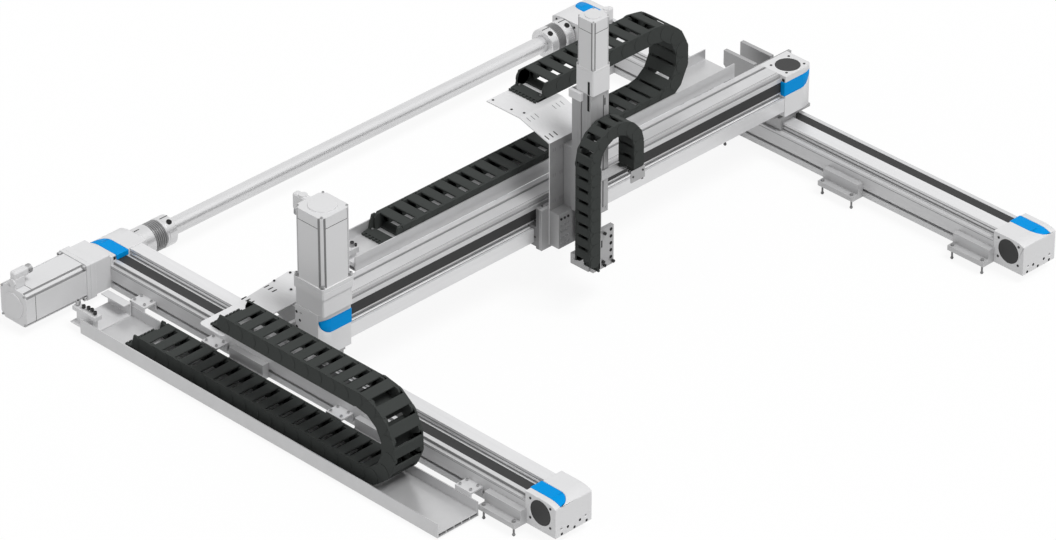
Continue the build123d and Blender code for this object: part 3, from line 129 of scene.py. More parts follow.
# %% Camera
azimuth, elevation = radians(45.17), radians(31.869)
back = Vector((sin(azimuth) * cos(elevation), -cos(azimuth) * cos(elevation), sin(elevation)))
right = Vector((cos(azimuth), sin(azimuth), 0))
camera = bpy.data.objects.new("camera", bpy.data.cameras.new("camera"))
camera.data.lens = 210.24
camera.data.clip_end = 60
standpoint = Matrix.Translation(at(8374.49, -8415.29, 8120.20))
camera.matrix_world = standpoint @ Matrix((right, back.cross(right), back)).transposed().to_4x4()
bpy.context.scene.collection.objects.link(camera)
bpy.context.scene.camera = camera
print("camera at", [round(v, 3) for v in camera.matrix_world.translation])

# %% [markdown]
# The machine stands on a plain white ground. The world is white to the camera and in reflections, and a
# good deal dimmer as light, so that pale metal keeps its tone. One broad sun from the upper right gives the
# side faces their darker grey, and a weak, broader one from the side of the near axis fills their shadows. To
# the camera the floor mixes a glow with a matt surface and so keeps a soft shadow; as a source of light it is
# a plain grey, so that it doesn't wash out the sides of the machine.

# %% Light and floor
def seen_directly(nodes, links):
    """1 for rays of the camera, of reflections and through glass, and 0 for rays that only carry light."""
    paths = nodes.new("ShaderNodeLightPath")
    total = paths.outputs["Is Camera Ray"]
    for kind in ("Is Glossy Ray", "Is Transmission Ray"):
        either = nodes.new("ShaderNodeMath")
        either.operation = "MAXIMUM"
        links.new(total, either.inputs[0])
        links.new(paths.outputs[kind], either.inputs[1])
        total = either.outputs[0]
    return total


def add_sun(name, strength, spread, towards):
    """A sun with its spread in degrees and the direction in which it stands."""
    lamp = bpy.data.objects.new(name, bpy.data.lights.new(name, "SUN"))
    lamp.data.energy = strength
    lamp.data.angle = radians(spread)
    lamp.rotation_euler = Vector(towards).to_track_quat("Z", "Y").to_euler()
    scene.collection.objects.link(lamp)
    return lamp


scene = bpy.context.scene
scene.view_settings.view_transform = "Standard"
world = bpy.data.worlds.new("studio")
scene.world = world
world.use_nodes = True
sky, links = world.node_tree.nodes, world.node_tree.links
level = sky.new("ShaderNodeMapRange")
level.inputs["To Min"].default_value = 0.45
links.new(seen_directly(sky, links), level.inputs["Value"])
sky["Background"].inputs["Color"].default_value = (1, 1, 1, 1)
links.new(level.outputs["Result"], sky["Background"].inputs["Strength"])

sun = add_sun("sun", 1.95, 24, (0.44, 0.06, 0.90))
fill = add_sun("fill", 0.4, 60, (-0.15, -0.95, 0.28))

bpy.ops.mesh.primitive_plane_add(size=30, location=(0, 0, cad_box[0][2] - 0.0005))
floor = bpy.context.object
floor.name = "floor"
ground = bpy.data.materials.new("ground")
ground.use_nodes = True
parts, links = ground.node_tree.nodes, ground.node_tree.links
parts.remove(parts["Principled BSDF"])
matt, glow, blend = (parts.new("ShaderNode" + kind) for kind in ("BsdfDiffuse", "Emission", "MixShader"))
dim, choice = (parts.new("ShaderNode" + kind) for kind in ("BsdfDiffuse", "MixShader"))
matt.inputs["Color"].default_value = (0.94, 0.94, 0.94, 1)
dim.inputs["Color"].default_value = (0.66, 0.66, 0.66, 1)
glow.inputs["Color"].default_value = (1, 1, 1, 1)
blend.inputs[0].default_value = 0.90
links.new(matt.outputs[0], blend.inputs[1])
links.new(glow.outputs[0], blend.inputs[2])
links.new(seen_directly(parts, links), choice.inputs[0])
links.new(dim.outputs[0], choice.inputs[1])
links.new(blend.outputs[0], choice.inputs[2])
links.new(choice.outputs[0], parts["Material Output"].inputs["Surface"])
floor.data.materials.append(ground)
print("sun", sun.data.energy, "fill", fill.data.energy, "world", level.inputs["To Min"].default_value)

# %% [markdown]
# Real surfaces are never one flat value. Each finish here starts from a noise in object coordinates. Drawn
# out along one direction it gives the fine lines of extruded or ground metal; even in all directions it
# gives paint and moulded plastic their slight unevenness. The noise moves the colour between two close
# tones, drives a faint relief, and shifts the roughness a little.

# %% A finish from noise
def finish(name, light, dark, roughness, metallic=0.0, grain=(60, 60, 60), relief=0.02, shine=0.5):
    """A surface whose colour, roughness and relief follow one stretched noise."""
    material = bpy.data.materials.new(name)
    material.use_nodes = True
    nodes, links = material.node_tree.nodes, material.node_tree.links
    shader = nodes["Principled BSDF"]
    shader.inputs["Metallic"].default_value = metallic
    shader.inputs["Specular IOR Level"].default_value = shine
    place, stretch = nodes.new("ShaderNodeTexCoord"), nodes.new("ShaderNodeMapping")
    stretch.inputs["Scale"].default_value = grain
    noise, cloud = nodes.new("ShaderNodeTexNoise"), nodes.new("ShaderNodeTexNoise")
    noise.inputs["Scale"].default_value = 10.0
    noise.inputs["Detail"].default_value = 4.0
    cloud.inputs["Scale"].default_value = 5.0
    links.new(place.outputs["Object"], stretch.inputs["Vector"])
    links.new(place.outputs["Object"], cloud.inputs["Vector"])
    links.new(stretch.outputs["Vector"], noise.inputs["Vector"])
    both = nodes.new("ShaderNodeMix")
    both.inputs["Factor"].default_value = 0.35
    links.new(noise.outputs["Fac"], both.inputs["A"])
    links.new(cloud.outputs["Fac"], both.inputs["B"])
    tones = nodes.new("ShaderNodeValToRGB")
    tones.color_ramp.elements[0].position = 0.3
    tones.color_ramp.elements[0].color = (*dark, 1)
    tones.color_ramp.elements[1].position = 0.7
    tones.color_ramp.elements[1].color = (*light, 1)
    links.new(both.outputs["Result"], tones.inputs["Fac"])
    links.new(tones.outputs["Color"], shader.inputs["Base Color"])
    gloss = nodes.new("ShaderNodeMapRange")
    gloss.inputs["To Min"].default_value = roughness * 1.12
    gloss.inputs["To Max"].default_value = roughness * 0.88
    links.new(noise.outputs["Fac"], gloss.inputs["Value"])
    links.new(gloss.outputs["Result"], shader.inputs["Roughness"])
    bump = nodes.new("ShaderNodeBump")
    bump.inputs["Strength"].default_value = 0.5
    bump.inputs["Distance"].default_value = relief * MM
    links.new(noise.outputs["Fac"], bump.inputs["Height"])
    links.new(bump.outputs["Normal"], shader.inputs["Normal"])
    return material


def grey(value):
    """A neutral tone, a touch cooler than plain grey."""
    return (value, value, value * 1.01)


# %% [markdown]
# Anodised extrusions are matt and pale with hair lines along their length, so there is one finish for the
# lower axes, one for the beam and one for the vertical unit. The vertical unit's finish and the beam
# carriage's finish are much darker: painted shade, for the shade in which these parts stand. Castings and
# motor cases are fine satin paint.
# Rails are ground steel, brighter and glossier than the profiles. Chains are black moulded plastic with a
# fine eroded texture, and the belts are black rubber with a faint cord structure along them.

# %% The finishes of this machine
# Each finish gives its light and dark tone, roughness, metallic share, grain, relief in mm and shine.
along_x, along_y, along_z = (2, 60, 60), (60, 2, 60), (60, 60, 2)
milled, smooth, even = (25, 25, 60), (3, 3, 3), (30, 30, 30)
satin, dull = (90, 90, 90), (60, 60, 60)
anodised_x = finish("anodised_lower_axes", grey(0.66), grey(0.59), 0.38, 0.2, along_x, 0.003)
anodised_y = finish("anodised_beam", grey(0.66), grey(0.59), 0.38, 0.2, along_y, 0.003)
# Darker than the beam's finish: painted shade, for the shade the vertical unit stands in.
anodised_z_painted_shade = finish("anodised_vertical_unit_painted_shade", grey(0.44), grey(0.36), 0.38, 0.3, along_z, 0.003)
plate_metal = finish("milled_plate", grey(0.42), grey(0.36), 0.38, 0.35, milled, 0.004)
# Darker still: painted shade, for the shade the beam's carriage stands in.
carriage_metal_painted_shade = finish("carriage_metal_painted_shade", grey(0.24), grey(0.20), 0.36, 0.35, milled, 0.004)
support_metal = finish("support_blocks", grey(0.54), grey(0.47), 0.38, 0.2, along_x, 0.003)
bright_plate = finish("bright_plate", grey(0.72), grey(0.65), 0.40, 0.2, (40, 40, 8))
sheet_metal = finish("chain_sheet", grey(0.78), grey(0.72), 0.48, 0.1, (3, 40, 40))
tray_metal = finish("tray_metal", grey(0.60), grey(0.56), 0.30, 0.4, smooth, 0.002)
# Sheet metal darker, for the shade painted on the upright of a bent sheet.
upright_painted_shade = finish("sheet_upright_painted_shade", grey(0.40), grey(0.34), 0.34, 0.4, smooth, 0.002)
casting_paint = finish("casting_paint", grey(0.74), grey(0.70), 0.42, 0.0, satin, 0.04, 0.35)
motor_paint = finish("motor_paint", grey(0.72), grey(0.68), 0.38, 0.0, satin, 0.05, 0.4)
rail_x = finish("ground_rail_lower", grey(0.78), grey(0.73), 0.32, 0.3, (0.5, 12, 12), 0.002)
rail_y = finish("ground_rail_beam", grey(0.78), grey(0.73), 0.32, 0.3, (12, 0.5, 12), 0.002)
turned = finish("turned_aluminium", grey(0.70), grey(0.63), 0.28, 0.7, (9, 1, 9), 0.002)
zinc = finish("zinc_plate", grey(0.50), grey(0.40), 0.34, 0.8, even)
black_screw = finish("black_screw", grey(0.05), grey(0.03), 0.4, 0.3, even, 0.02, 0.3)
# A near black for the shade painted into holes, slots and openings.
shadow_gap = finish("painted_recess_shade", grey(0.025), grey(0.018), 0.7, 0.0, dull, 0.02, 0.1)
belt_x = finish("belt_lower", grey(0.050), grey(0.042), 0.6, 0.0, (1, 120, 120), 0.05, 0.15)
belt_y = finish("belt_beam", grey(0.050), grey(0.042), 0.6, 0.0, (120, 1, 120), 0.05, 0.15)
cover_dark = finish("bearing_cover", grey(0.05), grey(0.04), 0.5, 0.0, satin, 0.04, 0.2)
groove_shade = finish("groove_shade", grey(0.26), grey(0.20), 0.5, 0.0, dull, 0.02, 0.2)
blue = finish("blue_cover", (0.0, 0.30, 0.76), (0.0, 0.28, 0.71), 0.45, 0.0, (80, 80, 80), 0.02, 0.05)
chain = finish("chain_plastic", (0.050, 0.054, 0.052), (0.041, 0.045, 0.043), 0.7, 0.0,
               (110, 110, 110), 0.05, 0.1)
print("finishes", len(bpy.data.materials))

# %% [markdown]
# Most solids already have the right shape and only need their finish. A CAD node has one material slot, so
# the finish is put straight into it. This is done first for every node; later steps replace some of them.

# %% Finishes on the CAD nodes
DRESS = {
    anodised_x: "x_profiles",
    support_metal: "support_blocks",
    tray_metal: "x_cable_tray y_cable_tray",
    bright_plate: "x_tray_brackets x_cable_clamp",
    anodised_y: "y_profile y_tray_brackets",
    anodised_z_painted_shade: "z_body",
    rail_x: "x_guide_rails",
    rail_y: "y_guide_rail z_slide_bar z_screw",
    belt_x: "x_belts",
    belt_y: "y_belt",
    casting_paint: "x_end_caps y_end_caps x_coupling_housing y_coupling_housing z_coupling_housing",
    motor_paint: "x_motor y_motor z_motor",
    blue: "x_belt_covers y_belt_covers",
    cover_dark: "x_bearing_covers y_bearing_covers",
    turned: "shaft_couplings connecting_shaft",
    groove_shade: "levelling_feet",
    zinc: "x_drive_pulleys x_idler_pulleys y_drive_pulley y_idler_pulley x_bearings y_bearings "
          "z_chain_bracket z_chain_arm",
    carriage_metal_painted_shade: "y_carriage",
    plate_metal: "x_carriages beam_brackets z_mounting_plates z_yoke z_tool_plate",
    sheet_metal: "x_chain_plate y_chain_plate",
}
for material, names in DRESS.items():
    for name in names.split():
        slots = frame["nodes"][name].data.materials
        slots.clear()
        slots.append(material)
for name, node in frame["nodes"].items():
    if "_chain_" in name and ("_run" in name or "_turn_" in name or "_fixed_end" in name):
        node.data.materials.clear()
        node.data.materials.append(chain)
print("dressed nodes", len(frame["nodes"]))

# %% [markdown]
# Machined and cast edges are never razor sharp: a small chamfer catches a line of light. For the hard-edged
# pieces a copy of the CAD mesh is merged, its flat facets are joined, and a Bevel modifier rounds the edges
# by a few tenths of a millimetre. The copy stands for the node, which stays in the simulation.

# %% Softened copies of the solids
def finished(mesh, name, body, nodes=()):
    """Makes a piece of a mesh whose place is in its vertices, and lets it ride on a body."""
    piece = bpy.data.objects.new(name, mesh)
    scene.collection.objects.link(piece)
    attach(piece, body)
    if nodes:
        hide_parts(*nodes)
    return piece


def merge_corners(shape):
    """Joins the loose triangles of a CAD mesh where their corners meet."""
    bmesh.ops.remove_doubles(shape, verts=shape.verts, dist=0.002 * MM)


def join_facets(shape):
    """Merges the corners of a mesh and makes one face of each flat side."""
    merge_corners(shape)
    bmesh.ops.dissolve_limit(shape, angle_limit=radians(0.6), verts=shape.verts, edges=shape.edges)


def joined_mesh(node):
    """A copy of a node's mesh with its corners merged and its flat facets joined."""
    mesh = frame["nodes"][node].data.copy()
    shape = bmesh.new()
    shape.from_mesh(mesh)
    join_facets(shape)
    shape.to_mesh(mesh)
    shape.free()
    return mesh


def soften(mesh, width):
    """Rounds the sharp edges of a mesh by a width in millimetres, as a plain mesh."""
    holder = bpy.data.objects.new("holder", mesh)
    scene.collection.objects.link(holder)
    edge = holder.modifiers.new("edge", "BEVEL")
    edge.width = width * MM
    edge.segments = 2
    edge.limit_method = "ANGLE"
    edge.angle_limit = radians(42)
    edge.use_clamp_overlap = False
    edge.miter_outer = "MITER_ARC"
    edge.harden_normals = True
    result = plain_mesh(holder)
    bpy.data.objects.remove(holder)
    return result


def plain_mesh(holder):
    """The evaluated mesh of an object, without its modifiers."""
    view = bpy.context.evaluated_depsgraph_get()
    view.update()
    return bpy.data.meshes.new_from_object(holder.evaluated_get(view))


# Pairs of a width in millimetres and the nodes whose edges are rounded by it.
EDGES = ((1.2, "x_end_caps y_end_caps"), (1.6, "x_belt_covers y_belt_covers"),
         (0.8, "x_coupling_housing y_coupling_housing"), (0.6, "z_coupling_housing"),
         (0.9, "x_motor y_motor"), (0.7, "z_motor"), (0.6, "beam_brackets"),
         (0.5, "z_yoke z_tool_plate support_blocks x_carriages y_carriage x_tray_brackets x_cable_clamp "
               "y_tray_brackets"), (0.4, "z_body"))
for node, width in [(node, width) for width, nodes in EDGES for node in nodes.split()]:
    body = frame["nodes"][node]["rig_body"]
    piece = finished(soften(joined_mesh(node), width), node + "_finished", body, [node])
    print(piece.name, len(piece.data.polygons))

# %% [markdown]
# Screws repeat everywhere, so they come from one Geometry Nodes tree. Its input mesh is only a cloud of
# points with a "facing" vector each. The tree makes one socket head from a cylinder whose top face is drawn
# in and pushed down, copies it to every point, and turns it to its facing. The sizes are inputs of the tree.

# %% Helpers for node trees
def new_tree(name, sizes):
    """An empty tree with a geometry input, number inputs for its sizes, and a material input."""
    tree = bpy.data.node_groups.new(name, "GeometryNodeTree")
    tree.interface.new_socket("Geometry", in_out="INPUT", socket_type="NodeSocketGeometry")
    for size in sizes:
        kind = "NodeSocketObject" if size.endswith("Piece") else "NodeSocketFloat"
        tree.interface.new_socket(size, in_out="INPUT", socket_type=kind)
    tree.interface.new_socket("Material", in_out="INPUT", socket_type="NodeSocketMaterial")
    tree.interface.new_socket("Geometry", in_out="OUTPUT", socket_type="NodeSocketGeometry")
    return tree


def step(tree, kind, sources, **settings):
    """Adds a node, links or sets its inputs by name or number, and returns it."""
    node = tree.nodes.new(kind)
    for key, value in settings.items():
        setattr(node, key, value)
    for key, value in sources.items():
        if isinstance(value, bpy.types.NodeSocket):
            tree.links.new(value, node.inputs[key])
        else:
            node.inputs[key].default_value = value
    return node


def close_tree(tree, geometry, source):
    """Ends a tree with Realize Instances and Set Material."""
    real = step(tree, "GeometryNodeRealizeInstances", {"Geometry": geometry})
    painted = step(tree, "GeometryNodeSetMaterial",
                   {"Geometry": real.outputs[0], "Material": source["Material"]})
    step(tree, "NodeGroupOutput", {0: painted.outputs[0]})


def bake(mesh, tree, values, place=None):
    """Runs a tree on a mesh with its inputs set by identifier, and returns the plain mesh in its place."""
    holder = bpy.data.objects.new("holder", mesh)
    scene.collection.objects.link(holder)
    run = holder.modifiers.new("tree", "NODES")
    run.node_group = tree
    for item in tree.interface.items_tree:
        if item.in_out == "INPUT" and item.name in values:
            run[item.identifier] = values[item.name]
    result = plain_mesh(holder)
    bpy.data.objects.remove(holder)
    if place is not None:
        result.transform(place)
    return result


def facing_points(places):
    """A mesh of loose points with a facing vector on each."""
    mesh = bpy.data.meshes.new("points")
    mesh.from_pydata([tuple(point) for point, _ in places], [], [])
    facing = mesh.attributes.new("facing", "FLOAT_VECTOR", "POINT")
    for index, (_, vector) in enumerate(places):
        facing.data[index].vector = Vector(vector).normalized()
    return mesh


# %% [markdown]
# A socket head cap screw is a short cylinder with a sunk socket. It could be a bevelled solid in the CAD, but
# hundreds of them would make the part heavy for no use, so one light head is built here as a tree and copied.

# %% The screw tree
screw_tree = new_tree("socket_screws", ("Radius", "Height", "Socket"))
given = step(screw_tree, "NodeGroupInput", {}).outputs
head = step(screw_tree, "GeometryNodeMeshCylinder",
            {"Vertices": 18, "Radius": given["Radius"], "Depth": given["Height"]})
drawn = step(screw_tree, "GeometryNodeExtrudeMesh",
             {"Mesh": head.outputs["Mesh"], "Selection": head.outputs["Top"], "Offset Scale": 0.0})
small = step(screw_tree, "GeometryNodeScaleElements",
             {"Geometry": drawn.outputs["Mesh"], "Selection": drawn.outputs["Top"], "Scale": given["Socket"]})
depth = step(screw_tree, "ShaderNodeMath", {0: given["Height"], 1: -0.6}, operation="MULTIPLY")
sunk = step(screw_tree, "GeometryNodeExtrudeMesh",
            {"Mesh": small.outputs[0], "Selection": drawn.outputs["Top"], "Offset Scale": depth.outputs[0]})
half = step(screw_tree, "ShaderNodeMath", {0: given["Height"], 1: 0.5}, operation="MULTIPLY")
rise = step(screw_tree, "ShaderNodeCombineXYZ", {"Z": half.outputs[0]})
lifted = step(screw_tree, "GeometryNodeTransform",
              {"Geometry": sunk.outputs["Mesh"], "Translation": rise.outputs[0]})
facing = step(screw_tree, "GeometryNodeInputNamedAttribute", {"Name": "facing"}, data_type="FLOAT_VECTOR")
turn = step(screw_tree, "FunctionNodeAlignRotationToVector",
            {"Vector": facing.outputs["Attribute"]}, axis="Z")
copies = step(screw_tree, "GeometryNodeInstanceOnPoints",
              {"Points": given["Geometry"], "Instance": lifted.outputs[0], "Rotation": turn.outputs[0]})
close_tree(screw_tree, copies.outputs[0], given)
print("screw tree nodes", len(screw_tree.nodes))


def screws(name, body, places, radius, height, material, socket=0.55):
    """A set of equal screws on one body. Places are pairs of a point and the way its head faces."""
    values = {"Radius": radius * MM, "Height": height * MM, "Socket": socket, "Material": material}
    return finished(bake(facing_points(places), screw_tree, values), name, body)


FLAT_DISC = 0.05


def dark_holes(name, body, places, radius, height, socket=FLAT_DISC):
    """Thin discs of painted shade that stand for small holes. A wide socket leaves only a rim of it."""
    return screws(name, body, places, radius, height, shadow_gap, socket)


def on(frame_matrix, spots, way):
    """Places of screws from local spots in millimetres that all face one local way."""
    facing = frame_matrix.to_3x3() @ Vector(way)
    return [(frame_matrix @ Vector(spot), facing) for spot in spots]


# %% [markdown]
# Each end cap has four small screws round every bearing cover, and in its end face two bolt holes with
# shallow pockets below them. The holes of the CAD are real; the pockets and the small openings beside the
# belt covers are thin insets of painted shade, because nothing is ever bolted there.

# %% Screws and pockets of the end caps
def around_cover(u, v):
    """Local spots of the four screws round a bearing cover at u, on the side v."""
    return [(u + a, v, PULLEY + b) for a in (-33, 33) for b in (-27, 27)]


# Across and up, in millimetres, on the end face of a cap.
POCKETS = ((21, 5.5), (41, 17), (63, 5.5), (81, 17), (103, 5.5))
OUT, IN, UP, FRONT = (0, -1, 0), (0, 1, 0), (0, 0, 1), (1, 0, 0)
AXES = ((near, "base", "near", X_LENGTH), (far, "base", "far", X_LENGTH), (beam, "beam", "beam", BEAM_LENGTH))
WIDTH = 120
# On the far axis's outer side the heads are set in by their height, so they are flush with the cap.
HEAD = 1.0
x_last, beam_last = X_LENGTH - PULLEY, BEAM_LENGTH - PULLEY
base_small = (on(near, around_cover(x_last, 0), OUT) + on(near, around_cover(x_last, WIDTH), IN)
              + on(far, around_cover(PULLEY, HEAD), OUT) + on(far, around_cover(PULLEY, WIDTH), IN)
              + on(far, around_cover(x_last, HEAD), OUT) + on(far, around_cover(x_last, WIDTH), IN))
beam_small = (on(beam, around_cover(PULLEY, 0), OUT) + on(beam, around_cover(PULLEY, WIDTH), IN)
              + on(beam, around_cover(beam_last, WIDTH), IN))
screws("cap_screws_lower", "base", base_small, 3.4, HEAD, black_screw)
screws("cap_screws_beam", "beam", beam_small, 3.4, HEAD, black_screw)
for axis, body, name, length in AXES:
    pockets = on(axis, [(0.5, v, w) for v, w in POCKETS], (-1, 0, 0))
    pockets += on(axis, [(length - 0.5, v, w) for v, w in POCKETS], (1, 0, 0))
    dark_holes("end_pockets_" + name, body, pockets, 3.8, 0.6)


def boxes(name, body, frame_matrix, spans, material, width=0.4):
    """Small bevelled blocks between low and high values in a local frame, as one piece."""
    shape = bmesh.new()
    for span in spans:
        size = Vector([abs(high - low) for low, high in span])
        centre = Vector([(high + low) / 2 for low, high in span])
        place = Matrix.Translation(centre) @ Matrix.Diagonal((*size, 1))
        bmesh.ops.create_cube(shape, size=1, matrix=place)
    mesh = bpy.data.meshes.new(name)
    shape.to_mesh(mesh)
    shape.free()
    mesh.transform(frame_matrix)
    mesh.materials.append(material)
    return finished(soften(mesh, width), name, body)


def insets(name, body, frame_matrix, spans, material=shadow_gap, width=0.4):
    """Thin dark blocks that stand for gaps, slots and grooves, with the shade in them painted on."""
    return boxes(name, body, frame_matrix, spans, material, width)


CAP = 100
for axis, body, name, length in AXES:
    across, up = (9, 16), (78.5, 87)
    openings = [((CAP - 1.5, CAP + 1.2), across, up), ((length - CAP - 1.2, length - CAP + 1.5), across, up)]
    insets("cap_openings_" + name, body, axis, openings)
    # Thin lines of painted shade run along each profile, where the side of the belt's lane, the sides of the
    # rails and the edges of the ledges stand in shade.
    along = (CAP + 1, length - CAP - 1)
    sections = (((8.7, 9.2), (66.5, 73.5)), ((-0.15, 0.3), (58.5, 60)), ((-0.15, 0.3), (62.5, 63.3)),
                ((64.7, 65.3), (68, 71.5)), ((64.7, 65.3), (79, 81)),
                ((102.7, 103.3), (67, 71.5)), ((102.7, 103.3), (78.5, 81)),
                ((107, 108.2), (65.7, 66.15)), ((119.7, 120.15), (58.5, 60)))
    lines = [(along, across, up) for across, up in sections]
    insets("profile_lines_" + name, body, axis, lines, groove_shade, 0.1)

# %% [markdown]
# The motors have a square case with a groove down each corner, long screws in the grooves, a thin joint
# before the end bell, and an angled socket whose ring nut is knurled. The knurls are small ribs, and a tree
# copies one rib round a circle.

# %% The rib tree
rib_tree = new_tree("ribs_round_a_ring", ("Radius", "Width", "Length", "Count"))
given = step(rib_tree, "NodeGroupInput", {}).outputs
circle = step(rib_tree, "GeometryNodeMeshCircle", {"Vertices": given["Count"], "Radius": given["Radius"]})
spot = step(rib_tree, "GeometryNodeInputPosition", {})
rib_size = step(rib_tree, "ShaderNodeCombineXYZ",
                {"X": given["Width"], "Y": given["Width"], "Z": given["Length"]})
rib = step(rib_tree, "GeometryNodeMeshCube", {"Size": rib_size.outputs[0]})
turn = step(rib_tree, "FunctionNodeAlignRotationToVector", {"Vector": spot.outputs[0]}, axis="X")
copies = step(rib_tree, "GeometryNodeInstanceOnPoints",
              {"Points": circle.outputs[0], "Instance": rib.outputs[0], "Rotation": turn.outputs[0]})
close_tree(rib_tree, copies.outputs[0], given)


def ribs(name, body, place, radius, width, length, count, material):
    """Ribs along local Z round a ring, in a local frame in millimetres."""
    values = {"Radius": radius, "Width": width, "Length": length, "Count": float(count), "Material": material}
    return finished(bake(bpy.data.meshes.new(name), rib_tree, values, place), name, body)


# %% [markdown]
# Servo motors have a plug socket on a short neck behind the end bell, screws through the flange, and dark
# grooves between the corners and the case. The case itself is the solid. The neck and barrel cover the
# solid's smaller socket. The joint line is a thin dark band and the grooves are shallow insets, because they
# only read as thin shadow lines. The sizes follow the two sizes of motor, as shares of its half sides.

# %% Motor details
def closed(shape, name, material):
    """Turns the faces of a mesh outwards and gives it its material."""
    bmesh.ops.recalc_face_normals(shape, faces=shape.faces)
    mesh = bpy.data.meshes.new(name)
    shape.to_mesh(mesh)
    shape.free()
    mesh.materials.append(material)
    return mesh


def band(name, body, place, half_side, cut, low, high, proud, material):
    """A thin band round a square case with cut corners, standing proud of it."""
    side, turn = half_side + proud, half_side - cut + proud * 0.6
    ring = [(side, -turn), (side, turn), (turn, side), (-turn, side), (-side, turn), (-side, -turn),
            (-turn, -side), (turn, -side)]
    shape = bmesh.new()
    shrink = 1 - 0.6 / side
    inner = [(x * shrink, y * shrink) for x, y in ring]
    rows = [[shape.verts.new((x, y, z)) for x, y in loop] for loop, z in
            ((ring, low), (ring, high), (inner, high), (inner, low))]
    for row, next_row in zip(rows, rows[1:] + rows[:1]):
        for index in range(len(ring)):
            following = (index + 1) % len(ring)
            shape.faces.new((row[index], row[following], next_row[following], next_row[index]))
    mesh = closed(shape, name, material)
    mesh.transform(place)
    return finished(mesh, name, body)


def square(reach, height):
    """The four corners of a square round a motor's axis."""
    return [(a, b, height) for a in (-reach, reach) for b in (-reach, reach)]


def motor_details(name, body, place, base, half_flange, half_body, cut, length, bell, plug_radius):
    """Screws, joint line, grooves and socket of one motor. Base is the height of the flange's lower face."""
    flange_reach = half_flange - 7 * half_flange / 52
    flange = 12 if half_flange > 40 else 8
    case_low = base + flange
    bell_low = case_low + length
    top = bell_low + bell
    spots = on(place, square(flange_reach, case_low - 0.5), UP)
    screws(name + "_flange_screws", body, spots, half_flange * 0.12, half_flange * 0.17, zinc)
    bell_reach = half_body - 7.5 * half_body / 49
    spots = on(place, square(bell_reach, top - 3.2), UP)
    screws(name + "_bell_screws", body, spots, half_body * 0.07, half_body * 0.05, zinc)
    band(name + "_joint_line", body, place, half_body, cut, bell_low - 0.35, bell_low + 0.35, 0.12,
         shadow_gap)
    chamfer = (2 * half_body - cut) / 2 ** 0.5
    height = (case_low, top - 5)
    skin = (chamfer - 0.4, chamfer + 0.25)
    strips = [(skin, (side * 0.33 * cut, side * 0.68 * cut), height) for side in (-1, 1)]
    rail = [((chamfer - 4, chamfer + 0.2 * cut), (-0.31 * cut, 0.31 * cut), height)]
    for quarter in range(4):
        corner = place @ Matrix.Rotation(pi / 4 + quarter * pi / 2, 4, "Z")
        insets(f"{name}_grooves_{quarter}", body, corner, strips, groove_shade, 0.1)
        boxes(f"{name}_corner_rail_{quarter}", body, corner, rail, motor_paint, 0.14 * cut)
    share = plug_radius / 11
    neck = [((half_body - 1, half_body + 30 * share), (-11.4 * share, 11.4 * share),
             (top - 35.5 * share, top - 4 * share))]
    barrel = [((half_body + 24 * share, half_body + 46 * share), (-11 * share, 11 * share),
               (top - 50 * share, top - 3 * share))]
    boxes(name + "_socket_neck", body, place, neck, motor_paint, 4 * share)
    boxes(name + "_socket_barrel", body, place, barrel, motor_paint, 6 * share)
    plug = half_body + 35 * share
    spot = on(place, [(plug, 0, top - 48 * share)], (0, 0, -1))
    screws(name + "_socket_nut", body, spot, 11 * share, 13 * share, zinc)
    nut = place @ Matrix.Translation((plug, 0, top - 55.5 * share))
    ribs(name + "_nut_knurls", body, nut, 11 * share, 1.5 * share, 9 * share, 22, zinc)


motor_details("x_motor", "base", x_motor, 68, 52, 49, 14, 165, 33, 11)
motor_details("y_motor", "beam", y_motor, 68, 52, 49, 14, 165, 33, 11)
motor_details("z_motor", "z_unit", z_motor, 0, 30, 29, 8, 104, 34, 8)

# %% [markdown]
# An energy chain is the showpiece of this machine: one link repeated along a path of a straight run, a half
# turn and a second run. A real link is offset: its front plates lie outside the next link's rear plates, and
# a round disc covers the pivot. Here it is drawn from an outer plate, a disc, a rear plate further in
# and two cross bars. A tree then works out each link's place from its number: its distance along the path
# gives a straight part, an angle in the turn and a second straight part.

# %% One chain link
def slab(shape, outline, low, high):
    """Adds a plate to a mesh: an outline in x and z between two values of y."""
    rows = [[shape.verts.new((x, y, z)) for x, z in outline] for y in (low, high)]
    count = len(outline)
    for index in range(count):
        following = (index + 1) % count
        shape.faces.new((rows[0][index], rows[0][following], rows[1][following], rows[1][index]))
    for row in rows:
        shape.faces.new(row)


def bar_outline(half, high, thick):
    """The section of a cross bar: a flat bar with its outer edges broken. A negative thickness hangs it."""
    sign = 1 if thick > 0 else -1
    return [(-half, high - thick), (-half, high - sign * 1.2), (-half + 2, high), (half - 2, high),
            (half, high - sign * 1.2), (half, high - thick)]


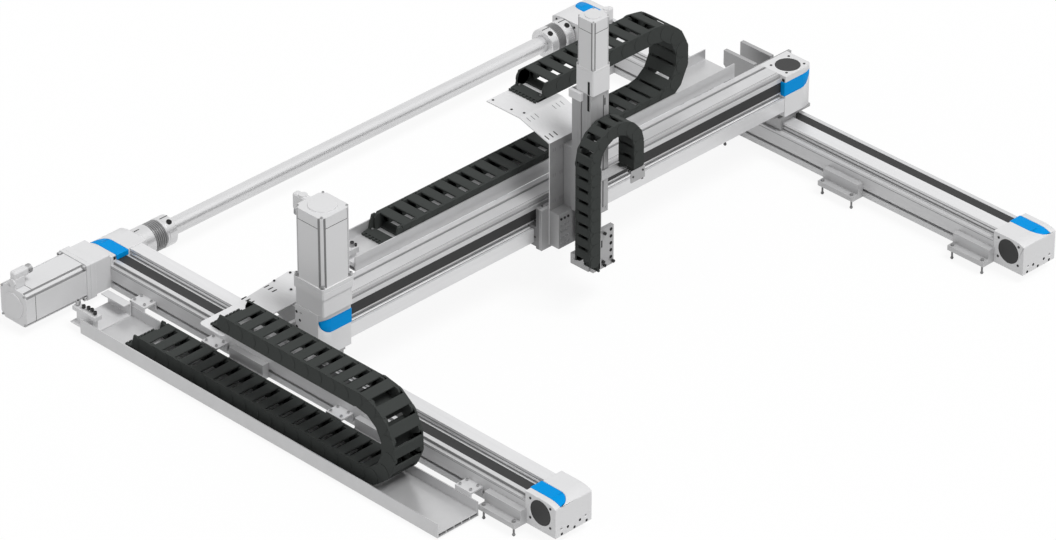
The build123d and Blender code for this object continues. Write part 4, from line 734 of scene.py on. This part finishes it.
def link_mesh(pitch, width, height, bar):
    """A link along +X about its middle: side plates with a disc over the front pivot, and two cross bars.
    Bar is half a cross bar's length along the chain, as a share of the pitch."""
    top, side = height / 2, 5.0
    shape = bmesh.new()
    rear, front = -0.44 * pitch, 0.5 * pitch
    outer = [(rear, -top + 3), (rear + 2.5, -top), (front, -top), (front, top), (rear + 2.5, top),
             (rear, top - 3)]
    tip, shoulder, root = -0.72 * pitch, -0.58 * pitch, -0.2 * pitch
    inner = [(tip, -top + 8), (shoulder, -top + 1), (root, -top + 1), (root, top - 1), (shoulder, top - 1),
             (tip, top - 8)]
    radius, corners = 0.488 * height, 18
    turns = [2 * pi * k / corners for k in range(corners)]
    disc = [(pitch / 2 + radius * cos(turn), radius * sin(turn)) for turn in turns]
    for sign in (-1, 1):
        face = sign * width / 2
        slab(shape, outer, face, face - sign * side)
        slab(shape, disc, face + sign * 0.9, face - sign * side)
        slab(shape, inner, face - sign * (side + 0.4), face - sign * (2 * side + 0.4))
    slab(shape, bar_outline(bar * pitch, top + 0.25, 4.5), -width / 2 + 0.3, width / 2 - 0.3)
    slab(shape, bar_outline(bar * pitch, -top - 0.25, -4.5), -width / 2 + 0.3, width / 2 - 0.3)
    return closed(shape, "link", chain)


# %% [markdown]
# Energy chain links are moulded one by one and clipped together. The tree makes a point for each link, works
# out from the link's number where on the path it lies and how the path is turned there, and copies the link
# mesh to it, so the pitch and the number of links stay plain inputs.

# %% The chain tree
chain_tree = new_tree("energy_chain", ("Pitch", "Run", "Radius", "First", "Count", "Link Piece"))
given = step(chain_tree, "NodeGroupInput", {}).outputs


def maths(a, b, operation="ADD"):
    """The result of one sum in the chain tree."""
    return step(chain_tree, "ShaderNodeMath", {0: a, 1: b}, operation=operation).outputs[0]


points = step(chain_tree, "GeometryNodePoints", {"Count": given["Count"]})
number = maths(step(chain_tree, "GeometryNodeInputIndex", {}).outputs[0], given["First"])
distance = maths(maths(number, 0.5), given["Pitch"], "MULTIPLY")
past_run = maths(distance, given["Run"], "SUBTRACT")
bend = maths(given["Radius"], pi, "MULTIPLY")
angle = maths(maths(maths(past_run, given["Radius"], "DIVIDE"), 0.0, "MAXIMUM"), pi, "MINIMUM")
straight = maths(past_run, 0.0, "MINIMUM")
second = maths(maths(past_run, bend, "SUBTRACT"), 0.0, "MAXIMUM")
sine = step(chain_tree, "ShaderNodeMath", {0: angle}, operation="SINE").outputs[0]
cosine = step(chain_tree, "ShaderNodeMath", {0: angle}, operation="COSINE").outputs[0]
x = maths(maths(straight, second, "SUBTRACT"), maths(sine, given["Radius"], "MULTIPLY"))
z = maths(given["Radius"], maths(cosine, given["Radius"], "MULTIPLY"), "SUBTRACT")
place = step(chain_tree, "ShaderNodeCombineXYZ", {"X": x, "Z": z})
tilt = step(chain_tree, "ShaderNodeCombineXYZ", {"Y": maths(angle, -1.0, "MULTIPLY")})
euler = step(chain_tree, "FunctionNodeEulerToRotation", {0: tilt.outputs[0]})
laid = step(chain_tree, "GeometryNodeSetPosition",
            {"Geometry": points.outputs[0], "Position": place.outputs[0]})
drawn = step(chain_tree, "GeometryNodeObjectInfo", {"Object": given["Link Piece"]})
copies = step(chain_tree, "GeometryNodeInstanceOnPoints",
              {"Points": laid.outputs[0], "Instance": drawn.outputs["Geometry"],
               "Rotation": euler.outputs[0]})
close_tree(chain_tree, copies.outputs[0], given)
print("chain tree nodes", len(chain_tree.nodes))

# %% [markdown]
# When the machine moves, the turn of a chain travels at half the speed of its moving end. The chain is
# therefore made in two pieces that meet at one joint in the middle of the turn: the lower run with the lower
# half of the turn, and the upper run with the upper half.

# %% Links of a chain
def chain_links(prefix, place, size, bar, radius, run, total, count_in_all, lower, upper):
    """Two pieces of chain, split in the middle of the turn. Lower and upper are (body, loop body, end point),
    which are not used. Size and bar are the link's, as for link_mesh."""
    pitch = total / count_in_all
    split = round((run + pi * radius / 2) / pitch)
    kind = bpy.data.objects.new("link", link_mesh(*size, bar))
    scene.collection.objects.link(kind)
    halves = (("lower", 0, split, lower, 0, ("_chain_fixed_run", "_chain_turn_lower")),
              ("upper", split, count_in_all - split, upper, 2 * radius,
               ("_chain_moving_run", "_chain_turn_upper")))
    for half, first, count, (body, loop, fixed), height, nodes in halves:
        values = {"Pitch": pitch, "Run": run, "Radius": radius, "First": float(first), "Count": float(count),
                  "Link Piece": kind, "Material": chain}
        mesh = bake(bpy.data.meshes.new(prefix), chain_tree, values, place)
        piece = bpy.data.objects.new(f"{prefix}_chain_{half}_links", mesh)
        scene.collection.objects.link(piece)
        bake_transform(piece)
        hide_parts(*[prefix + node for node in nodes])
        print(piece.name, "links", count, "faces", len(mesh.polygons))
    bpy.data.objects.remove(kind)


# %% [markdown]
# Each chain ends in a bracket whose comb of T-shaped teeth holds the cables with ties. Its cheeks rise to the
# height of the links. It is one mesh drawn from listed points. Where the CAD node holds the bracket and the
# metal sheet together, a copy of the node without the bracket's faces stands for the sheet.

# %% Combs at the chain ends
def end_comb(name, body, place, end, level, size, nodes=()):
    """The bracket before a chain's end at local x = end, at the height of its run, with eight teeth."""
    pitch, width, height = size
    low = level - height / 2
    back, front = end - 0.87 * pitch, end - 0.2 * pitch
    sole, teeth = 6, 8
    shape = bmesh.new()
    slab(shape, [(back, low), (front, low), (front, low + sole), (back, low + sole)], -width / 2, width / 2)
    room = width / teeth
    neck = (back - 4.5, back + 1, 0.5, 0.2 * room)
    head = (back - 8, back - 4, 0.2, 0.38 * room)
    for index in range(teeth):
        middle = (index - (teeth - 1) / 2) * room
        for x_low, x_high, gap, half in (neck, head):
            floor_z, roof_z = low + gap, low + sole - gap
            outline = [(x_low, floor_z), (x_high, floor_z), (x_high, roof_z), (x_low, roof_z)]
            slab(shape, outline, middle - half, middle + half)
    top = level + height / 2
    cheek = [(back + 3, low + 1), (end, low + 1), (end + 0.1 * pitch, level - 0.3 * height),
             (end + 0.1 * pitch, level + 0.3 * height), (end - 0.05 * pitch, top), (end - 0.3 * pitch, top),
             (back + 0.35 * pitch, low + 8), (back + 3, low + 6)]
    for sign in (-1, 1):
        slab(shape, cheek, sign * width / 2, sign * (width / 2 - 5))
    mesh = closed(shape, name, chain)
    mesh.transform(place)
    finished(soften(mesh, 0.4), name, body, nodes)
    spots = [(end - 0.42 * pitch, side * width * 0.39, low + 7) for side in (-1, 1)]
    screws(name + "_screws", body, on(place, spots, UP), pitch * 0.07, 3.0, zinc)


def without_comb(node, place, end, level, size, material):
    """A softened copy of a node's sheet metal, without the chain bracket that is part of the node."""
    pitch, width, height = size
    mesh = frame["nodes"][node].data.copy()
    shape = bmesh.new()
    shape.from_mesh(mesh)
    inverse = place.inverted()
    low = level - height / 2
    hair = 0.02
    inside = []
    for face in shape.faces:
        spots = [inverse @ vert.co for vert in face.verts]
        in_box = all(end - 1.1 * pitch < p.x < end + 2 and abs(p.y) < width / 2 + 0.1 and p.z > low - hair
                     for p in spots)
        raised = max(p.z for p in spots) > low + hair
        downward = (inverse.to_3x3() @ face.normal).z < 0
        if in_box and (raised or downward):
            inside.append(face)
    bmesh.ops.delete(shape, geom=inside, context="FACES")
    join_facets(shape)
    shape.to_mesh(mesh)
    shape.free()
    mesh.materials.clear()
    mesh.materials.append(material)
    mesh.materials.append(upright_painted_shade)
    # A large side that faces along X, such as the upright of a bent sheet, has the darker finish: the sheet's
    # shade painted on.
    for face in mesh.polygons:
        face.material_index = int(abs(face.normal.x) > 0.99 and face.area > 5000 * MM ** 2)
    print(node, "faces of the bracket taken out", len(inside))
    body = frame["nodes"][node]["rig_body"]
    return finished(soften(mesh, 0.4), node + "_sheet", body, [node])


# %% [markdown]
# The lower axis, the beam and the vertical unit each have one chain. Each is two pieces of links that meet in
# the middle of the bend, with a comb at either end.

# %% Three energy chains
# Pitch, width and height of a link, then the radius of the bend.
LARGE, SMALL = (46, 96, 44), (33, 53, 35)
LARGE_BEND, SMALL_BEND = 100, 75
# From the bend back to the start of the fixed run, and to the end of the moving run above it.
X_FIXED, Y_FIXED, Z_FIXED = -785, -879, -62
X_MOVING, Y_MOVING, Z_MOVING = -467.6, -373.6, -266
# The length of the whole chain, and its links.
LARGE_TOTAL, SMALL_TOTAL = (1566.8, 34), (564, 17)
x_chain = stand((-511, -98, 17), (1, 0, 0), (0, 1, 0))
y_chain = stand((-959, 1263, 272), (0, 1, 0), (-1, 0, 0))
z_chain = stand((-659.5, 922, 412), (0, 0, 1), (-1, 0, 0))
chain_links("x", x_chain, LARGE, 0.33, LARGE_BEND, -X_FIXED, *LARGE_TOTAL,
            ("base", "x_loop_lower", X_FIXED), ("beam", "x_loop_upper", X_MOVING))
chain_links("y", y_chain, LARGE, 0.33, LARGE_BEND, -Y_FIXED, *LARGE_TOTAL,
            ("beam", "y_loop_lower", Y_FIXED), ("z_unit", "y_loop_upper", Y_MOVING))
chain_links("z", z_chain, SMALL, 0.36, SMALL_BEND, -Z_FIXED, *SMALL_TOTAL,
            ("z_unit", "z_loop_lower", Z_FIXED), ("z_slide", "z_loop_upper", Z_MOVING))
x_level, y_level, z_level = 2 * LARGE_BEND, 2 * LARGE_BEND, 2 * SMALL_BEND
end_comb("x_comb_fixed", "base", x_chain, X_FIXED, 0, LARGE, ["x_chain_fixed_end"])
end_comb("x_comb_moving", "beam", x_chain, X_MOVING, x_level, LARGE)
end_comb("y_comb_fixed", "beam", y_chain, Y_FIXED, 0, LARGE, ["y_chain_fixed_end"])
end_comb("y_comb_moving", "z_unit", y_chain, Y_MOVING, y_level, LARGE)
end_comb("z_comb_fixed", "z_unit", z_chain, Z_FIXED, 0, SMALL)
end_comb("z_comb_moving", "z_slide", z_chain, Z_MOVING, z_level, SMALL)
without_comb("x_chain_plate", x_chain, X_MOVING, x_level, LARGE, sheet_metal)
without_comb("y_chain_plate", y_chain, Y_MOVING, y_level, LARGE, sheet_metal)
without_comb("z_chain_bracket", z_chain, Z_FIXED, 0, SMALL, zinc)
without_comb("z_chain_arm", z_chain, Z_MOVING, z_level, SMALL, zinc)

# %% [markdown]
# Between the drive end caps runs a hollow shaft with a clamp coupling at each end: two turned hubs with a
# metal bellows between them. A bellows is a row of thin folds, which a lathe profile gives exactly, so the
# couplings are made as a profile turned round the shaft's axis. Slits and clamp screws are dark insets of
# painted shade.

# %% Couplings of the connecting shaft
def lathe(name, body, points, material, nodes=()):
    """A closed profile of (y, radius) pairs turned round the shaft line of the lower axes."""
    segments = 56
    shape = bmesh.new()
    rows = []
    for y, radius in points:
        turns = [2 * pi * k / segments for k in range(segments)]
        ring = [(SHAFT[0] + radius * cos(turn), y, SHAFT[2] + radius * sin(turn)) for turn in turns]
        rows.append([shape.verts.new(at(*point)) for point in ring])
    for row, next_row in zip(rows, rows[1:] + rows[:1]):
        for k in range(segments):
            after = (k + 1) % segments
            shape.faces.new((row[k], row[after], next_row[after], next_row[k]))
    return finished(closed(shape, name, material), name, body, nodes)


HUB = 40


def hub_profile(low, high, groove):
    """A hub between two places with broken edges and a fine turned groove round it."""
    return [(low, 23), (low, HUB - 2), (low + 2, HUB), (groove - 0.8, HUB), (groove, HUB - 1),
            (groove + 0.8, HUB), (high - 2, HUB), (high, HUB - 2), (high, 23)]


def folds(low, high, count):
    """The zigzag of a bellows between two places."""
    pitch = (high - low) / count
    points = [(low, 30)]
    for index in range(count):
        start = low + index * pitch
        points += [(start + 0.1 * pitch, 36.5), (start + 0.35 * pitch, 39.3), (start + 0.65 * pitch, 39.3),
                   (start + 0.9 * pitch, 36.5)]
    return points + [(high, 30)]


bellows_steel = finish("bellows_steel", grey(0.34), grey(0.26), 0.3, 0.5, (60, 2, 60))
lathe("near_coupling_hub", "x_drive", hub_profile(122, 164, 128), turned, ["shaft_couplings"])
lathe("near_coupling_bellows", "x_drive", folds(164, 200, 6), bellows_steel)
lathe("near_coupling_far_hub", "x_drive", hub_profile(200, 234, 208), turned)
lathe("far_coupling_hub", "x_drive", hub_profile(1558, 1586, 1580), turned)
lathe("far_coupling_bellows", "x_drive", folds(1586, 1612, 6), bellows_steel)
lathe("far_coupling_near_hub", "x_drive", hub_profile(1612, 1644, 1618), turned)
lean = Vector((0.5, 0, 0.87))
# Rings of painted shade at the clamp screws' holes, and slits of painted shade.
holes = [(at(SHAFT[0] + HUB * lean.x, y, SHAFT[2] + HUB * lean.z), lean) for y in (221, 1569, 1631)]
dark_holes("coupling_screw_holes", "x_drive", holes, 7.5, 1.2, 0.7)
slits = [((-1.2, 1.2), along, (HUB - 3, HUB + 0.4))
         for along in ((123, 139), (208, 233), (1559, 1583), (1618, 1643))]
insets("coupling_slits", "x_drive", stand(SHAFT, (1, 0, 0), (0, 1, 0)), slits, width=0.2)

# %% [markdown]
# The sheets over the chains have rows of slots for cable ties, and they are screwed down. A slot that the
# solid leaves open is filled with a dark inset of painted shade, so that it reads as a slot over any ground.
# The rest are thin insets of painted shade on the surface.

# %% Slots and screws of the sheets
slots_x = [((x - 2, x + 2), (y - 8, y + 8), (192.2, 194.9)) for y in (70, -4) for x in (-1060, -1046, -1032)]
insets("x_sheet_slots", "beam", layout, slots_x, width=0.3)
spots = [(-1064, 152, 195.8), (-1064, 99, 195.8), (-1006, 152, 195.8), (-1006, 101, 195.8)]
screws("x_sheet_screws", "beam", on(layout, spots, UP), 3.2, 2.0, black_screw)
slope = stand((-806, 0, 425.43), (-0.9615, 0, 0.2747), (0, -1, 0))
spans = [((-8, 8), (-y - 1.6, -y + 1.6), (-0.6, 0.25)) for y in (776, 791, 806)]
spans += [((64, 80), (-y - 0.6, -y + 0.6), (-0.6, 0.2)) for y in (782, 796, 810, 870, 884, 898)]
insets("y_sheet_slots", "z_unit", slope, spans, width=0.15)
holes = [(-999, 781, 450.1), (-934, 781, 450.1), (-900, 791, 450.1)]
dark_holes("y_sheet_holes", "z_unit", on(layout, holes, UP), 3.4, 0.5)
dashes = [((-787.6, -786.8), (y - 0.9, y + 0.9), (z - 5, z + 5))
          for z in (396, 324, 251) for y in (779, 786, 803, 810)]
insets("upright_dashes", "z_unit", layout, dashes, groove_shade, 0.15)

# %% [markdown]
# The trays hang on small brackets with four cap screws each, and the feet's blocks show two screws on the
# ledge that stands out from the axis. Their places are read from the solids: each loose part of a node gives
# a box, and the screws go near its corners.

# %% Screws of brackets and supports
def loose_boxes(node):
    """The lowest and highest corner of every loose part of a node."""
    shape = bmesh.new()
    shape.from_mesh(frame["nodes"][node].data)
    merge_corners(shape)
    left, found = set(shape.verts), []
    # The corners are gone through in their own order. A set has none, and the parts would change places.
    for first in shape.verts:
        if first not in left:
            continue
        left.remove(first)
        queue = [first]
        part = [first]
        while queue:
            for edge in queue.pop().link_edges:
                for vert in edge.verts:
                    if vert in left:
                        left.remove(vert)
                        queue.append(vert)
                        part.append(vert)
        found.append([Vector([pick(vert.co[side] for vert in part) for side in range(3)])
                      for pick in (min, max)])
    shape.free()
    return found


def corner_screws(name, body, node, inset, radius, height, material):
    """Four screws on the top of each loose part of a node."""
    places = []
    for low, high in loose_boxes(node):
        for x in (low.x + inset * MM, high.x - inset * MM):
            for y in (low.y + inset * MM, high.y - inset * MM):
                places.append((Vector((x, y, high.z + height * MM / 2)), Vector(UP)))
    print(name, len(places))
    return screws(name, body, places, radius, height, material)


corner_screws("tray_bracket_screws", "base", "x_tray_brackets", 9, 3.6, 3.0, zinc)
places = []
INSET, LEDGE = 10 * MM, 15.5 * MM
half_way, drive_end = at(0, X_SPAN / 2, 0).y, at(-1400, 0, 0).x
for low, high in loose_boxes("support_blocks"):
    at_near_axis = (low.y + high.y) / 2 < half_way
    # The one support at the drive end of the near axis stands on its inner side.
    ledge_is_low = at_near_axis and high.x >= drive_end
    y = low.y + INSET if ledge_is_low else high.y - INSET
    places += [(Vector((x, y, low.z + LEDGE)), Vector(UP)) for x in (low.x + INSET, high.x - INSET)]
screws("support_end_screws", "base", places, 4.2, 3.5, zinc)

# %% [markdown]
# The clamp at the drive end of the tray holds cable feet with black heads of several sizes. The carriages,
# the tool plate and the vertical body carry black screws and a few openings, all where the photograph has
# them. They are the small things that make a machine look built rather than drawn. The openings, the dots on
# the clamp's side and the dark rims round the tool plate's holes are painted shade.

# %% Clamp heads, carriage holes and tool plate bolts
screws("clamp_heads_large", "base", on(layout, [(-1506, -152, 45)], UP), 6.5, 10, zinc)
screws("clamp_caps_large", "base", on(layout, [(-1506, -152, 51)], UP), 5.2, 3, black_screw)
heads = [(-1486, -152, 42.5), (-1470, -150, 44), (-1457, -150, 44), (-1444, -152, 42)]
screws("clamp_heads_small", "base", on(layout, heads, UP), 5.0, 7, black_screw)
dots = [(x, -46.4, 22) for x in (-1508, -1474, -1441)]
dark_holes("clamp_side_dots", "base", on(layout, dots, OUT), 2.6, 0.5)
holes = [(-823.7, 741.9, 154.6), (-812.8, 741.9, 152.1), (-823.7, 741.9, 200), (-812.8, 741.9, 200)]
dark_holes("carriage_side_holes", "z_unit", on(layout, holes, OUT), 2.8, 0.6)
tops = [(-806, y, 236.3) for y in (760, 800, 884, 924)]
screws("carriage_top_screws", "z_unit", on(layout, tops, UP), 2.6, 1.0, black_screw)
holes = [(-673.8, 868, 181 - 20 * k) for k in range(5)]
# Rims of painted shade round the tool plate's holes.
dark_holes("tool_plate_hole_rims", "z_slide", on(layout, holes, FRONT), 4.6, 0.5, 0.72)
bolts = [(-671.5, y, z) for y, z in ((872, 89), (842, 89), (816, 89), (837, 101), (816, 181), (842, 181))]
screws("tool_plate_bolts", "z_slide", on(layout, bolts, FRONT), 4.4, 5, black_screw)
slot = [((-674.2, -673.7), (834, 838), (141, 161))]
insets("tool_plate_slot", "z_slide", layout, slot, width=0.15)
columns = (775, 787, 799)
grid = [(-755, y, z) for y in columns for z in (142, 160, 178, 196)]
screws("mounting_block_screws", "z_unit", on(layout, grid, FRONT), 3.4, 2, zinc)
row = [(-755, y, 214) for y in columns]
screws("sheet_clamp_screws", "z_unit", on(layout, row, FRONT), 3.4, 2, black_screw)
holes = [(-689.9, y, z) for y in (867.5, 816.5) for z in (240, 562)]
screws("body_end_screws", "z_unit", on(layout, holes, FRONT), 2.8, 1.2, zinc)
yoke_spots = [(x, 801.6, 94) for x in (-738, -700)]
screws("yoke_side_screws", "z_slide", on(layout, yoke_spots, OUT), 3.6, 1.6, zinc)

# %% [markdown]
# The beam's tray has a small clamp at its start too, a bar on a foot with one tall and two low heads. It
# stands on the tray's floor. The face of the vertical chain's bracket is a small tab before its last link.

# %% Clamp of the beam's tray, tab of the vertical chain
clamp = [((-956, -938), (224, 265), (262, 278)), ((-953, -941), (227, 258), (249.5, 263)),
         ((-934, -913), (224, 249), (249.5, 257))]
boxes("beam_clamp", "beam", layout, clamp, bright_plate, 0.8)
screws("beam_clamp_head", "beam", on(layout, [(-949, 252, 277.5)], UP), 6.5, 11, zinc)
screws("beam_clamp_cap", "beam", on(layout, [(-949, 252, 288)], UP), 5.2, 3, black_screw)
heads = [(-945, 232, 277.5), (-946, 260, 277.5)]
screws("beam_clamp_low_heads", "beam", on(layout, heads, UP), 4.5, 6, black_screw)
tab = [((-633.4, -630.9), (893, 942), (319, 352))]
boxes("z_bracket_tab", "z_unit", layout, tab, plate_metal, 0.6)
heads = [(-631, 900, 335), (-631, 934, 342)]
screws("z_bracket_tab_screws", "z_unit", on(layout, heads, FRONT), 2.6, 1.5, black_screw)

# %% [markdown]
# The vertical unit hangs on a stack: the carriage's plate, a block with many screws, and a narrow spacer that
# reaches up behind the body. The solid has block and spacer in one width; here the spacer is narrow, as the
# photograph shows, and stays hidden behind the body. Thin insets of painted shade stand for the body's
# openings.

# %% Mounting plates, openings and end cap of the vertical body
plates = [((-800, -790), (742, 942), (120, 236)), ((-787, -755), (767, 917), (130, 228)),
          ((-787, -755), (815, 869), (226, 401))]
mount = boxes("mounting_plates", "z_unit", layout, plates, plate_metal, 1.0)
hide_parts("z_mounting_plates")
gaps = [((-702, -695), (810.5, 811.3), (530, 574)), ((-702, -695), (811.5, 812.3), (576, 612))]
gaps += [((-690.3, -689.7), (858, 861.5), (532, 552))]
insets("body_openings", "z_unit", layout, gaps, width=0.15)
cap = [((-757, -716), (801, 816), (553, 575))]
boxes("body_end_cap", "z_unit", layout, cap, casting_paint, 0.8)
